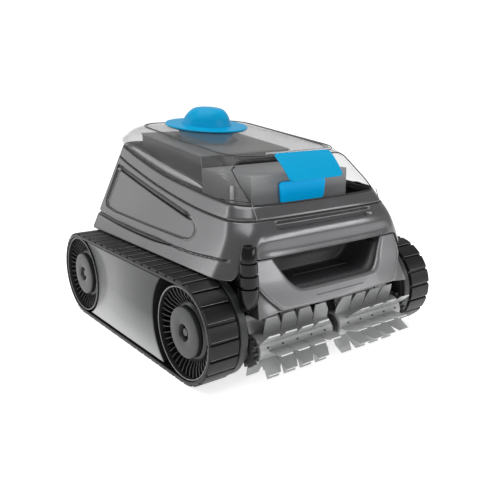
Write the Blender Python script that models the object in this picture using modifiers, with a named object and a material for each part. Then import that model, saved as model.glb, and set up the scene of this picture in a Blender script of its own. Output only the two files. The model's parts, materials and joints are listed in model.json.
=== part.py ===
"""Tracked pool cleaner: an assembly of separate, named pieces.

Frame: X is the width, the machine drives towards -Y, Z is up, and the floor is z = 0.
Left and right are the machine's own, so its left side is at +X. Lengths are metres.
"""
import math

import bmesh
import bpy
from mathutils import Matrix, Vector

# ---- driving dimensions ----
WIDTH = 0.400                # over both tracks
LENGTH = 0.4784              # brush tip to the rear end of the tracks
TRACK_BASE = 0.314           # front axle to rear axle
LUG_R = 0.0674               # axle to the tip of a lug, so also the axles' height
LUG_H = 0.0029
BELT_T = 0.0035
LUG_COUNT = 48
BELT_IN_X = 0.158            # inner edge of a belt
GAP = 0.0003                 # between pieces that touch in the real machine
FIT = 0.0005                 # between pieces that turn in each other
RUNNING = 0.0001             # a bush on its axle
WALL = 0.003                 # moulded walls

# ---- running gear ----
BELT_R = LUG_R - LUG_H
WHEEL_R = BELT_R - BELT_T - GAP
REAR_AXLE_Y = LENGTH / 2 - LUG_R
FRONT_AXLE_Y = REAR_AXLE_Y - TRACK_BASE
AXLE_Z = LUG_R
AXLE_R = 0.005
BUSH_R = 0.008
SLEEVE_R = 0.0118
FRAME_R = 0.060              # rounded ends of the side frame
FRAME_X = (0.142, 0.155)
COVER_X = (0.159, 0.1975)
COVER_ARC_FRONT = 0.079
COVER_ARC_REAR = 0.0635
GEAR_X = (0.1335, 0.1405)
GEAR_MODULE = 0.0025
DRIVE_TEETH = 30
BRUSH_TEETH = 15
PINION_TEETH = 12
GEAR_SLACK = 0.0002          # added to each centre distance

# ---- brushes ----
BRUSH_R = 0.0446
BRUSH_Y = BRUSH_R - LENGTH / 2
BRUSH_CENTRES = GEAR_MODULE * (DRIVE_TEETH + BRUSH_TEETH) / 2 + GEAR_SLACK
BRUSH_Z = AXLE_Z - math.sqrt(BRUSH_CENTRES ** 2 - (BRUSH_Y - FRONT_AXLE_Y) ** 2)
BRUSH_X = (0.006, 0.131)
BRUSH_BLADES = 10
PINION_ANGLE = math.radians(20)
PINION_CENTRES = GEAR_MODULE * (DRIVE_TEETH + PINION_TEETH) / 2 + GEAR_SLACK
PINION_Y = FRONT_AXLE_Y + PINION_CENTRES * math.cos(PINION_ANGLE)
PINION_Z = AXLE_Z + PINION_CENTRES * math.sin(PINION_ANGLE)

# ---- body skin: half width, front and rear as they change with height ----
SKIRT_Z = 0.138
BAR_Z = 0.1592               # lower edge of the front bar
HALF_AT_209 = 0.131
SIDE_LEAN = 0.477
FRONT_AT = [(0.138, -0.192), (0.1585, -0.1936), (0.185, -0.190), (0.2048, -0.1795),
            (0.2458, -0.159)]
REAR_Y = 0.2125
CORNER_FRONT = 0.034
CORNER_REAR = 0.024
FRONT_CROWN = 0.004
# heights of the two seams, as they change with y
SEAM_AT = [(-0.18, 0.2030), (-0.126, 0.2034), (-0.056, 0.2085), (0.044, 0.2220),
           (0.150, 0.2412), (0.2125, 0.2550)]
GLASS_AT = [(-0.18, 0.2205), (-0.122, 0.2235), (-0.081, 0.2262), (0.032, 0.2375),
            (0.124, 0.2530), (0.2125, 0.2715)]

# ---- lid ----
ROOF_Z = 0.2888              # height of the roof at y = 0
ROOF_SLOPE = 0.114
LID_T = 0.0025
# half width, front, rear, corner radius, crown, height at front and at rear
LID_RINGS = [(0.1115, -0.1590, 0.2085, 0.036, 0.006, 0.2410, 0.2810),
             (0.1080, -0.1430, 0.1975, 0.038, 0.008, 0.2560, 0.2895),
             (0.1050, -0.1290, 0.1800, 0.040, 0.011, 0.2660, 0.2985),
             (0.1000, -0.1140, 0.1520, 0.040, 0.014, 0.2738, 0.3048),
             (0.0650, -0.0800, 0.1200, 0.030, 0.010, None, None)]
HINGE_Y = 0.2185
HINGE_Z = 0.2550
HINGE_X = 0.076              # centre of each knuckle pair
NOZZLE_Y = 0.098
NOZZLE_R = 0.067
NOZZLE_TILT = math.atan(ROOF_SLOPE)
LATCH_Y = -0.1300
LATCH_Z = 0.2785
LATCH_HALF = 0.050
NOTCH_LOW = (0.1085, 0.2000)  # half width and height of the front cut-out's lower corners
NOTCH_TOP = (0.0905, 0.2620)

# ---- inside ----
TUB_HALF = 0.131
TUB_FLOOR = 0.024
TUB_TOP = 0.150
GRIP_HALF = 0.086            # the bridge in front of the canister
GRIP_Y = (-0.136, -0.020)
PEG_AT = (0.0905, -0.100)    # the two posts beside the bridge
PEG_R = 0.0025
PEG_TOP = 0.2345
GUARD_R = 0.0656             # ring on a side frame that keeps leaves off the belt
GUARD_X = (0.145, 0.155)
GUSSET = [(0.1270, 0.1290), (0.1345, 0.0920), (0.1010, 0.0965)]
GUSSET_BACK = 0.006          # behind the front panel's face
BOX_HALF = 0.082             # filter canister
BOX_Y = (-0.012, 0.165)
BOX_FLOOR = 0.116
BOX_TOP_Z = 0.2665           # height of the canister's rim at y = 0
BOX_SLOPE = 0.120
DUCT_R = 0.0455
DUCT_TOP = 0.2665
SHAFT_R = 0.003
THROAT_HALF = 0.045
THROAT_Y = (-0.088, -0.042)
FLAP_Z = 0.1790              # upper edge of the inlet flap, where it pivots
CLIP_Y = -0.1385
CLIP_Z = 0.2120

# ---- handle opening ----
OPEN_TOP = 0.0985
OPEN_LOW = 0.0660
OPEN_LOW_Z = 0.1170
POCKET_TOP = 0.1550
POCKET_BACK = -0.1480
FASCIA_AT = [(0.0973, -0.2215), (0.1307, -0.2045), (0.1589, -0.1945)]
BOOT_X = -0.1425
BOOT_Y = -0.2050

SIDES = (("left", 1), ("right", -1))


def clear_scene():
    for obj in list(bpy.data.objects):
        bpy.data.objects.remove(obj, do_unlink=True)


def new_collection(name):
    collection = bpy.data.collections.new(name)
    bpy.context.scene.collection.children.link(collection)
    return collection


def material(name, colour, roughness, metallic=0.0, alpha=1.0):
    mat = bpy.data.materials.new(name)
    mat.use_nodes = True
    shader = mat.node_tree.nodes["Principled BSDF"]
    shader.inputs["Base Color"].default_value = (*colour, 1)
    shader.inputs["Roughness"].default_value = roughness
    shader.inputs["Metallic"].default_value = metallic
    shader.inputs["Alpha"].default_value = alpha
    return mat


def link(name, data, mat=None, cutter=False):
    obj = bpy.data.objects.new(name, data)
    (CUTTERS if cutter else PARTS).objects.link(obj)
    if cutter:
        obj.hide_render = True
        obj.display_type = "WIRE"
    if mat:
        data.materials.append(mat)
    return obj


def mesh_from(name, bm, mat=None, cutter=False):
    mesh = bpy.data.meshes.new(name)
    bm.to_mesh(mesh)
    bm.free()
    return link(name, mesh, mat, cutter)


def smooth(obj, angle=35):
    obj.data.shade_smooth()
    obj.data.set_sharp_from_angle(angle=math.radians(angle))


def box(name, low, high, mat=None, cutter=False, bevel=0.0):
    bm = bmesh.new()
    bmesh.ops.create_cube(bm, size=1)
    size = [h - l for l, h in zip(low, high)]
    bmesh.ops.scale(bm, vec=size, verts=bm.verts)
    obj = mesh_from(name, bm, mat, cutter)
    obj.location = [(l + h) / 2 for l, h in zip(low, high)]
    if bevel:
        add_bevel(obj, bevel)
    return obj


def cylinder(name, radius, low, high, mat=None, cutter=False, axis="X", segments=24):
    """A cylinder along an axis between two points that differ only along it."""
    bm = bmesh.new()
    depth = max(abs(h - l) for l, h in zip(low, high))
    bmesh.ops.create_cone(bm, cap_ends=True, segments=segments, radius1=radius,
                          radius2=radius, depth=depth)
    obj = mesh_from(name, bm, mat, cutter)
    obj.location = [(l + h) / 2 for l, h in zip(low, high)]
    turns = {"X": (0, math.pi / 2, 0), "Y": (math.pi / 2, 0, 0), "Z": (0, 0, 0)}
    obj.rotation_euler = turns[axis]
    return obj


def add_bevel(obj, width, segments=2):
    bevel = obj.modifiers.new("edges", "BEVEL")
    bevel.width = width
    bevel.segments = segments
    bevel.limit_method = "ANGLE"
    return bevel


def boolean(obj, other, operation="DIFFERENCE"):
    mod = obj.modifiers.new(operation.lower(), "BOOLEAN")
    mod.operation = operation
    mod.solver = "EXACT"
    mod.object = other


def solidify(obj, thickness, offset=-1.0):
    mod = obj.modifiers.new("wall", "SOLIDIFY")
    mod.thickness = thickness
    mod.offset = offset
    mod.use_even_offset = True


def turned(name, profile, mat, steps=28, closed=True):
    """A Screw of (radius, height) points that run down the outer side, about local Z."""
    bm = bmesh.new()
    verts = [bm.verts.new((r, 0, h)) for r, h in profile]
    for a, b in zip(verts, verts[1:]):
        bm.edges.new((a, b))
    if closed:
        bm.edges.new((verts[-1], verts[0]))
    obj = mesh_from(name, bm, mat)
    screw = obj.modifiers.new("turn", "SCREW")
    screw.axis = "Z"
    screw.steps = steps
    screw.render_steps = steps
    screw.use_merge_vertices = True
    screw.merge_threshold = 0.00001
    screw.use_normal_calculate = False
    return obj


def along_x(obj, side, y, z):
    """Stand a turned piece on a cross axle: its local Z points outwards."""
    obj.location = (0, y, z)
    obj.rotation_euler = (0, side * math.pi / 2, 0)
    return obj


def arc(centre, radius, start, stop, count):
    """Points from one angle to another, in degrees, both ends included."""
    points = []
    for i in range(count + 1):
        angle = math.radians(start + (stop - start) * i / count)
        points.append((centre[0] + radius * math.cos(angle),
                       centre[1] + radius * math.sin(angle)))
    return points


def plate(name, loops, thickness, mat, cutter=False):
    """A flat outline, with holes, as a filled 2D curve of the given thickness."""
    curve = bpy.data.curves.new(name, "CURVE")
    curve.dimensions = "2D"
    curve.fill_mode = "BOTH"
    curve.extrude = thickness / 2
    for loop in loops:
        spline = curve.splines.new("POLY")
        spline.points.add(len(loop) - 1)
        for point, (u, v) in zip(spline.points, loop):
            point.co = (u, v, 0, 1)
        spline.use_cyclic_u = True
    return link(name, curve, mat, cutter)


def side_plate(name, loops, x_low, x_high, mat, cutter=False):
    """A plate whose outline is given as (y, z), between two values of x."""
    obj = plate(name, loops, x_high - x_low, mat, cutter)
    obj.rotation_euler = (math.pi / 2, 0, math.pi / 2)
    obj.location = ((x_low + x_high) / 2, 0, 0)
    return obj


def solid_mesh(obj):
    """Turn a curve plate into a mesh, so that Boolean modifiers can work on it."""
    bpy.context.view_layer.update()
    depsgraph = bpy.context.evaluated_depsgraph_get()
    mesh = bpy.data.meshes.new_from_object(obj.evaluated_get(depsgraph))
    bm = bmesh.new()
    bm.from_mesh(mesh)
    bmesh.ops.remove_doubles(bm, verts=bm.verts, dist=0.00001)
    bmesh.ops.recalc_face_normals(bm, faces=bm.faces)
    bm.to_mesh(mesh)
    bm.free()
    name = obj.name
    collection = obj.users_collection[0]
    matrix = obj.matrix_world.copy()
    hidden = obj.hide_render
    bpy.data.objects.remove(obj, do_unlink=True)
    new = bpy.data.objects.new(name, mesh)
    collection.objects.link(new)
    new.matrix_world = matrix
    if hidden:
        new.hide_render = True
        new.display_type = "WIRE"
    return new


def mirrored(span, side):
    """An x span given for the left side, as it lies on the given side."""
    low, high = sorted((span[0] * side, span[1] * side))
    return low, high


def table(points, value):
    """Straight-line interpolation in a list of (value, result) pairs."""
    if value <= points[0][0]:
        return points[0][1]
    for (a, fa), (b, fb) in zip(points, points[1:]):
        if value <= b:
            return fa + (fb - fa) * (value - a) / (b - a)
    return points[-1][1]


# ---- the rounded outline that every ring of the body shares ----

def outline_columns(front=8, corner=4, side=6, rear=4):
    """Columns as (ex, ey, nx, ny): a place on the inner rectangle and a normal."""
    columns = []
    for i in range(front):
        columns.append((2 * i / front - 1, -1, 0, -1))
    columns += corner_columns(1, -1, -90, corner)
    for i in range(side):
        columns.append((1, 2 * i / side - 1, 1, 0))
    columns += corner_columns(1, 1, 0, corner)
    for i in range(rear):
        columns.append((1 - 2 * i / rear, 1, 0, 1))
    columns += corner_columns(-1, 1, 90, corner)
    for i in range(side):
        columns.append((-1, 1 - 2 * i / side, -1, 0))
    columns += corner_columns(-1, -1, 180, corner)
    return columns


def corner_columns(ex, ey, start, count):
    columns = []
    for i in range(count):
        angle = math.radians(start + 90 * i / count)
        columns.append((ex, ey, math.cos(angle), math.sin(angle)))
    return columns


def outline_point(column, half, front, rear, r_front, r_rear, crown):
    ex, ey, nx, ny = column
    y_front = front + r_front
    y_rear = rear - r_rear
    radius = r_front if ey < 0 else r_rear
    x = ex * (half - radius) + nx * radius
    if abs(nx) == 1:
        x = nx * half
    y = y_front + (y_rear - y_front) * (ey + 1) / 2 + ny * radius
    if ny < 0:
        y += crown * ny * (1 - ex ** 4)
    return x, y


def skin_point(column, height, inset=0.0):
    """The body's skin where a seam, a function of y, crosses one column."""
    z = height(0.0)
    for _ in range(12):
        half = HALF_AT_209 - SIDE_LEAN * (z - 0.209) - inset
        front = table(FRONT_AT, z) + inset
        x, y = outline_point(column, half, front, REAR_Y - inset, CORNER_FRONT - inset,
                             CORNER_REAR - inset, FRONT_CROWN)
        z = height(y)
    return x, y, z


def seam(y):
    return table(SEAM_AT, y)


def glass_line(y):
    return table(GLASS_AT, y)


def skin_ring(height, inset=0.0):
    return [skin_point(column, height, inset) for column in outline_columns()]


def loft(bm, rings, cap=False):
    """Quads between rings of equal length, listed from the bottom up."""
    rows = [[bm.verts.new(point) for point in ring] for ring in rings]
    for low, high in zip(rows, rows[1:]):
        count = len(low)
        for i in range(count):
            j = (i + 1) % count
            bm.faces.new((low[i], low[j], high[j], high[i]))
    if cap:
        bm.faces.new(rows[-1])
    return rows


def fascia_y(z):
    return table(FASCIA_AT, z)


# ---- body shells ----

def make_hull(mat):
    rings = []
    steps = 2
    for i in range(steps + 1):
        part = i / steps
        rings.append(skin_ring(lambda y: SKIRT_Z + (seam(y) - GAP - SKIRT_Z) * part))
    bm = bmesh.new()
    loft(bm, rings)
    hull = mesh_from("hull", bm, mat)
    solidify(hull, WALL)
    notch = box("cut_hull_front", (-0.1285, -0.26, 0.10), (0.1285, -0.150, BAR_Z), cutter=True)
    boolean(hull, notch)
    for side in (1, -1):
        for offset in (-0.0118, 0.0118):
            knuckle = hinge_knuckle("join_hull", side * HINGE_X + offset, 0.0075, -1)
            boolean(hull, knuckle, "UNION")
    bore = cylinder("cut_hull_hinge", 0.0032, (-0.11, HINGE_Y, HINGE_Z),
                    (0.11, HINGE_Y, HINGE_Z), cutter=True)
    boolean(hull, bore)
    smooth(hull)


def hinge_knuckle(name, x, width, direction):
    """A round knuckle with a web to the wall, below (-1) or above (+1) the seam."""
    wall_y = HINGE_Y - 0.0075
    outline = arc((HINGE_Y, HINGE_Z), 0.0055, -90 * direction, 90 * direction, 10)
    outline += [(wall_y, HINGE_Z + direction * 0.0120), (wall_y, HINGE_Z + direction * 0.0042)]
    knuckle = side_plate(name, [outline], x - width / 2, x + width / 2, None, cutter=True)
    return solid_mesh(knuckle)


def make_front_panel(mat):
    """The plate under the bar, with the hand opening as a notch in its top edge."""
    bm = bmesh.new()
    rows = []
    levels = [(0.0973, 0.1011), (0.103, 0.1085), (0.1307, 0.1300), (0.145, 0.1285),
              (BAR_Z - 0.0006, 0.1265)]
    columns = 12
    for z, half in levels:
        row = []
        for i in range(columns + 1):
            ex = 2 * i / columns - 1
            row.append((ex * half, fascia_y(z) - FRONT_CROWN * (1 - ex ** 2), z))
        rows.append([bm.verts.new(point) for point in row])
    for low, high in zip(rows, rows[1:]):
        for i in range(columns):
            bm.faces.new((low[i], low[i + 1], high[i + 1], high[i]))
    panel = mesh_from("front_panel", bm, mat)
    solidify(panel, WALL)
    cut = plate("cut_opening", [opening_outline()], 0.10, None, cutter=True)
    cut.rotation_euler = (math.pi / 2, 0, 0)
    cut.location = (0, -0.20, 0)
    boolean(panel, solid_mesh(cut))
    smooth(panel)


def opening_outline():
    """The hand opening in x and z: a tray shape with round lower corners."""
    radius = 0.016
    above_panel = 0.170
    corner = (OPEN_LOW - radius * 0.6, OPEN_LOW_Z + radius)
    points = [(OPEN_TOP, above_panel), (-OPEN_TOP, above_panel)]
    points += arc((-corner[0], corner[1]), radius, 205, 270, 5)
    points += arc(corner, radius, 270, 335, 5)
    return points


def make_handle_pocket(mat):
    """A tray behind the opening: open in front, and with room above for the fingers."""
    bm = bmesh.new()
    mouth = [(x, fascia_y(z) + 0.0042, z) for x, z in pocket_section()]
    back = [(x * 0.92, POCKET_BACK, z + 0.003) for x, z in pocket_section()]
    rows = [[bm.verts.new(p) for p in ring] for ring in (mouth, back)]
    count = len(mouth)
    for i in range(count):
        j = (i + 1) % count
        bm.faces.new((rows[0][i], rows[0][j], rows[1][j], rows[1][i]))
    bm.faces.new(rows[1])
    bmesh.ops.recalc_face_normals(bm, faces=bm.faces)
    pocket = mesh_from("handle_pocket", bm, mat)
    solidify(pocket, 0.002, offset=1.0)
    smooth(pocket)


def pocket_section():
    """The tray's inside in x and z, a wall's thickness above the opening's lower edge."""
    radius = 0.014
    corner = (OPEN_LOW - radius * 0.4, OPEN_LOW_Z + WALL + radius)
    points = [(OPEN_TOP + 0.002, POCKET_TOP), (-OPEN_TOP - 0.002, POCKET_TOP)]
    points += arc((-corner[0], corner[1]), radius, 205, 270, 4)
    points += arc(corner, radius, 270, 335, 4)
    return points


def tub_gusset(side):
    """A wedge on the tub's front wall that shows beside the front panel."""
    bm = bmesh.new()
    front = [bm.verts.new((side * x, fascia_y(z) + GUSSET_BACK, z)) for x, z in GUSSET]
    back = [bm.verts.new((side * x, -0.1900, z)) for x, z in GUSSET]
    bm.faces.new(front)
    bm.faces.new(back)
    for i in range(3):
        j = (i + 1) % 3
        bm.faces.new((front[i], front[j], back[j], back[i]))
    bmesh.ops.recalc_face_normals(bm, faces=bm.faces)
    return mesh_from("join_tub_gusset", bm, cutter=True)


def make_chassis(mat):
    """The tub: a folded strip of front, floor and back, closed by two side walls."""
    profile = [(-0.1850, TUB_TOP), (-0.1950, 0.1010), (-0.1490, 0.0965), (-0.1465, 0.0300),
               (-0.1400, TUB_FLOOR), (0.1750, TUB_FLOOR), (0.1960, 0.0450), (0.2030, 0.1330),
               (0.2030, TUB_TOP)]
    bm = bmesh.new()
    sides = []
    for x in (-TUB_HALF, TUB_HALF):
        sides.append([bm.verts.new((x, y, z)) for y, z in profile])
    for i in range(len(profile) - 1):
        bm.faces.new((sides[0][i], sides[0][i + 1], sides[1][i + 1], sides[1][i]))
    bm.faces.new(sides[0])
    bm.faces.new(list(reversed(sides[1])))
    bmesh.ops.recalc_face_normals(bm, faces=bm.faces)
    # the open top makes the outside ambiguous, so the floor's normal settles it
    bm.faces.ensure_lookup_table()
    floor = bm.faces[4]
    if floor.normal.z > 0:
        bmesh.ops.reverse_faces(bm, faces=bm.faces)
    chassis = mesh_from("chassis", bm, mat)
    solidify(chassis, WALL)
    for side in (1, -1):
        boolean(chassis, tub_gusset(side), "UNION")
    boolean(chassis, box("cut_chassis_pocket", (-0.1045, -0.21, 0.1120), (0.1045, -0.17, 0.20),
                         cutter=True))
    boolean(chassis, box("cut_chassis_mouth", (-THROAT_HALF - 0.0025, THROAT_Y[0] - 0.0025, 0.0),
                         (THROAT_HALF + 0.0025, THROAT_Y[1] + 0.0025, 0.04), cutter=True))
    for y in (FRONT_AXLE_Y, REAR_AXLE_Y):
        boolean(chassis, cylinder("cut_chassis_axle", AXLE_R + GAP, (-0.2, y, AXLE_Z),
                                  (0.2, y, AXLE_Z), cutter=True, segments=16))
    boolean(chassis, cylinder("cut_chassis_motor", SHAFT_R + FIT, (-0.2, PINION_Y, PINION_Z),
                              (0.2, PINION_Y, PINION_Z), cutter=True, segments=12))
    smooth(chassis)


# ---- lid ----

def lid_ring(half, front, rear, radius, crown, z_front, z_rear):
    ring = []
    for column in outline_columns():
        x, y = outline_point(column, half, front, rear, radius, radius, crown)
        if z_front is None:
            z = ROOF_Z + ROOF_SLOPE * y
        else:
            z = z_front + (z_rear - z_front) * (y - front) / (rear - front)
        ring.append((x, y, z))
    return ring


def make_lid(mat):
    bm = bmesh.new()
    rings = [skin_ring(lambda y: glass_line(y) + 4 * GAP)]
    rings += [lid_ring(*ring) for ring in LID_RINGS]
    loft(bm, rings, cap=True)
    lid = mesh_from("lid", bm, mat)
    solidify(lid, LID_T)
    hole = cylinder("cut_lid_nozzle", 0.0475, (0, NOZZLE_Y, 0.27), (0, NOZZLE_Y, 0.33),
                    cutter=True, axis="Z", segments=32)
    boolean(lid, hole)
    boolean(lid, lid_notch())
    for side in (1, -1):
        x = side * (LATCH_HALF + 0.0056)
        ear = box("join_lid_ear", (x - 0.002, LATCH_Y - 0.0028, LATCH_Z - 0.0215),
                  (x + 0.002, LATCH_Y + 0.0036, LATCH_Z + 0.003), cutter=True)
        boolean(lid, ear, "UNION")
    bore = cylinder("cut_lid_pin", 0.0018, (-0.07, LATCH_Y, LATCH_Z), (0.07, LATCH_Y, LATCH_Z),
                    cutter=True, segments=12)
    boolean(lid, bore)
    smooth(lid)


def lid_notch():
    """The cut-out in the lid's front, through which a hand reaches the clip."""
    outline = [(-NOTCH_LOW[0], NOTCH_LOW[1]), NOTCH_LOW, NOTCH_TOP, (-NOTCH_TOP[0], NOTCH_TOP[1])]
    cut = plate("cut_lid_notch", [outline], 0.090, None, cutter=True)
    cut.rotation_euler = (math.pi / 2, 0, 0)
    cut.location = (0, -0.165, 0)
    return solid_mesh(cut)


def make_lid_frame(mat):
    bm = bmesh.new()
    loft(bm, [skin_ring(lambda y: seam(y) + GAP), skin_ring(lambda y: glass_line(y) - GAP)])
    frame = mesh_from("lid_frame", bm, mat)
    solidify(frame, 0.0035)
    for side in (1, -1):
        knuckle = hinge_knuckle("join_frame", side * HINGE_X, 0.0150, 1)
        boolean(frame, knuckle, "UNION")
    bore = cylinder("cut_frame_hinge", 0.0032, (-0.11, HINGE_Y, HINGE_Z),
                    (0.11, HINGE_Y, HINGE_Z), cutter=True)
    boolean(frame, bore)
    smooth(frame)


def make_lid_seal(mat):
    """A rubber lip inside the frame's lower edge."""
    bm = bmesh.new()
    inset = 0.0050
    loft(bm, [skin_ring(lambda y: seam(y) + 0.0010, inset),
              skin_ring(lambda y: seam(y) + 0.0050, inset)])
    seal = mesh_from("lid_seal", bm, mat)
    solidify(seal, 0.0025)
    smooth(seal)


def make_hinge_pin(mat):
    cylinder("lid_hinge_pin", 0.0028, (-HINGE_X - 0.018, HINGE_Y, HINGE_Z),
             (HINGE_X + 0.018, HINGE_Y, HINGE_Z), mat, segments=16)


def make_nozzle(mat):
    """Flange, funnel and dome in one moulding; the water leaves by a mouth at the rear."""
    profile = [(0, 0.0320), (0.0180, 0.0305), (0.0300, 0.0245), (0.0380, 0.0130),
               (0.0415, 0.0032), (NOZZLE_R, 0.0032), (NOZZLE_R, 0.0006), (0.0462, 0.0006),
               (0.0405, -0.0270), (0.0380, -0.0270), (0.0370, 0.0060), (0.0280, 0.0215),
               (0.0170, 0.0275), (0, 0.0290)]
    nozzle = turned("nozzle", profile, mat, steps=22, closed=False)
    base_z = ROOF_Z + ROOF_SLOPE * NOZZLE_Y
    nozzle.location = (0, NOZZLE_Y, base_z)
    nozzle.rotation_euler = (NOZZLE_TILT, 0, 0)
    mouth = box("cut_nozzle_mouth", (-0.0240, NOZZLE_Y + 0.0150, base_z + 0.0085),
                (0.0240, NOZZLE_Y + 0.0600, base_z + 0.0240), cutter=True)
    boolean(nozzle, mouth)
    smooth(nozzle)


def make_latch(flap_mat, pin_mat):
    """The blue flap on the lid's front slope, hung on a pin along its upper edge."""
    outer = [(LATCH_Y - 0.0045, LATCH_Z + 0.0002), (-0.1460, 0.2705), (-0.1590, 0.2575),
             (-0.1690, 0.2445)]
    inner = [(y + 0.0015, z - 0.0015) for y, z in reversed(outer)]
    knuckle = [(LATCH_Y + 0.0030 * math.cos(math.radians(a)),
                LATCH_Z + 0.0030 * math.sin(math.radians(a))) for a in (-60, 0, 60, 110)]
    flap = side_plate("lid_latch", [outer + inner + knuckle], -LATCH_HALF, LATCH_HALF, flap_mat)
    flap = solid_mesh(flap)
    bore = cylinder("cut_latch_pin", 0.0018, (-0.07, LATCH_Y, LATCH_Z), (0.07, LATCH_Y, LATCH_Z),
                    cutter=True, segments=12)
    boolean(flap, bore)
    cylinder("latch_pin", 0.0013, (-LATCH_HALF - 0.0070, LATCH_Y, LATCH_Z),
             (LATCH_HALF + 0.0070, LATCH_Y, LATCH_Z), pin_mat, segments=10)


# ---- running gear ----

def stadium(radius, count):
    """The loop around both axles, as (y, z) points, counter-clockwise seen from +X."""
    points = arc((REAR_AXLE_Y, AXLE_Z), radius, -90, 90, count)
    points += arc((FRONT_AXLE_Y, AXLE_Z), radius, 90, 270, count)
    return points


def loop_point(distance, radius):
    """A point and its outward normal at a distance along the belt's loop."""
    bend = math.pi * BELT_R
    total = 2 * (TRACK_BASE + bend)
    distance %= total
    if distance < TRACK_BASE:
        return (FRONT_AXLE_Y + distance, AXLE_Z - radius), (0, -1)
    distance -= TRACK_BASE
    if distance < bend:
        angle = distance / BELT_R - math.pi / 2
        normal = (math.cos(angle), math.sin(angle))
        return (REAR_AXLE_Y + radius * normal[0], AXLE_Z + radius * normal[1]), normal
    distance -= bend
    if distance < TRACK_BASE:
        return (REAR_AXLE_Y - distance, AXLE_Z + radius), (0, 1)
    angle = (distance - TRACK_BASE) / BELT_R + math.pi / 2
    normal = (math.cos(angle), math.sin(angle))
    return (FRONT_AXLE_Y + radius * normal[0], AXLE_Z + radius * normal[1]), normal


def belt_outline():
    """The outer outline of a belt: a trapezoid lug and a flat land, 48 times."""
    pitch = 2 * (TRACK_BASE + math.pi * BELT_R) / LUG_COUNT
    root = 0.0145
    tip = 0.0105
    points = []
    for lug in range(LUG_COUNT):
        middle = (lug + 0.5) * pitch
        for offset, radius in ((-root / 2, BELT_R), (-tip / 2, LUG_R), (tip / 2, LUG_R),
                               (root / 2, BELT_R)):
            point, _ = loop_point(middle + offset, radius)
            points.append(point)
    return points


def make_track(side_name, side, mat):
    low, high = mirrored((BELT_IN_X, WIDTH / 2), side)
    inner = stadium(BELT_R - BELT_T, 18)
    side_plate("track_" + side_name, [belt_outline(), inner], low, high, mat)


def make_side_frame(side_name, side, mat):
    """The plate inside a track that carries the wheels, with an arm for the brush."""
    low, high = mirrored(FRAME_X, side)
    frame = solid_mesh(side_plate("side_frame_" + side_name, [stadium(FRAME_R, 14)], low, high,
                                  mat))
    arm = cylinder("join_frame_arm", 0.0095, (low, BRUSH_Y, BRUSH_Z), (high, BRUSH_Y, BRUSH_Z),
                   cutter=True)
    boolean(frame, arm, "UNION")
    ring_low, ring_high = mirrored(GUARD_X, side)
    guard = cylinder("join_frame_guard", GUARD_R, (ring_low, FRONT_AXLE_Y, AXLE_Z),
                     (ring_high, FRONT_AXLE_Y, AXLE_Z), cutter=True, segments=64)
    boolean(frame, guard, "UNION")
    for y in (FRONT_AXLE_Y, REAR_AXLE_Y):
        boolean(frame, cylinder("cut_frame_axle", SLEEVE_R + FIT, (low - 0.01, y, AXLE_Z),
                                (high + 0.01, y, AXLE_Z), cutter=True, segments=20))
    boolean(frame, cylinder("cut_frame_brush", SHAFT_R + FIT, (low - 0.01, BRUSH_Y, BRUSH_Z),
                            (high + 0.01, BRUSH_Y, BRUSH_Z), cutter=True, segments=12))
    smooth(frame)


def make_side_cover(side_name, side, mat):
    """The bright cover between the wheels: a shallow box with two hollow ends."""
    half = BELT_R - BELT_T - 0.0020
    bm = bmesh.new()
    outline = cover_outline(half)
    top = [bm.verts.new((side * COVER_X[1], y, z)) for y, z in outline]
    low = [bm.verts.new((side * COVER_X[0], y, z)) for y, z in outline]
    bm.faces.new(top)
    count = len(outline)
    for i in range(count):
        j = (i + 1) % count
        bm.faces.new((top[i], low[i], low[j], top[j]))
    bm.faces.ensure_lookup_table()
    bmesh.ops.recalc_face_normals(bm, faces=bm.faces)
    if bm.faces[0].normal.x * side < 0:
        bmesh.ops.reverse_faces(bm, faces=bm.faces)
    cover = mesh_from("side_cover_" + side_name, bm, mat)
    solidify(cover, 0.0025)
    smooth(cover)


def cover_outline(half):
    """Between the two wheels: a wide clear arc in front, and a close one at the rear."""
    front = math.degrees(math.asin(half / COVER_ARC_FRONT))
    rear = math.degrees(math.asin(half / COVER_ARC_REAR))
    points = arc((FRONT_AXLE_Y, AXLE_Z), COVER_ARC_FRONT, front, -front, 14)
    points += arc((REAR_AXLE_Y, AXLE_Z), COVER_ARC_REAR, 180 + rear, 180 - rear, 14)
    return points


def make_wheel(place, side, y, mats):
    """A dished wheel on its bush, with the cap over the hub."""
    profile = [(0.0583, 0.1985), (WHEEL_R, 0.1985), (WHEEL_R, 0.1590), (0.0580, 0.1590),
               (0.0565, 0.1720), (SLEEVE_R, 0.1650), (SLEEVE_R, 0.1411),
               (BUSH_R + GAP, 0.1411), (BUSH_R + GAP, 0.1895), (0.0360, 0.1895),
               (0.0460, 0.1800), (0.0570, 0.1800)]
    wheel = turned("wheel_" + place, profile, mats["wheel"], steps=20)
    cap_profile = [(0.0335, 0.1970), (0.0335, 0.1900), (0.0100, 0.1900), (0.0100, 0.1945)]
    cap = turned("hub_cap_" + place, cap_profile, mats["cap"], steps=18)
    bush_profile = [(BUSH_R, 0.1880), (BUSH_R, 0.1420), (AXLE_R + RUNNING, 0.1420),
                    (AXLE_R + RUNNING, 0.1880)]
    bush = turned("bush_" + place, bush_profile, mats["bush"], steps=16)
    for obj in (wheel, cap, bush):
        along_x(obj, side, y, AXLE_Z)
        smooth(obj)
    low, high = mirrored((0.1240, 0.1935), side)
    cylinder("axle_" + place, AXLE_R, (low, y, AXLE_Z), (high, y, AXLE_Z), mats["steel"],
             segments=16)


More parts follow.
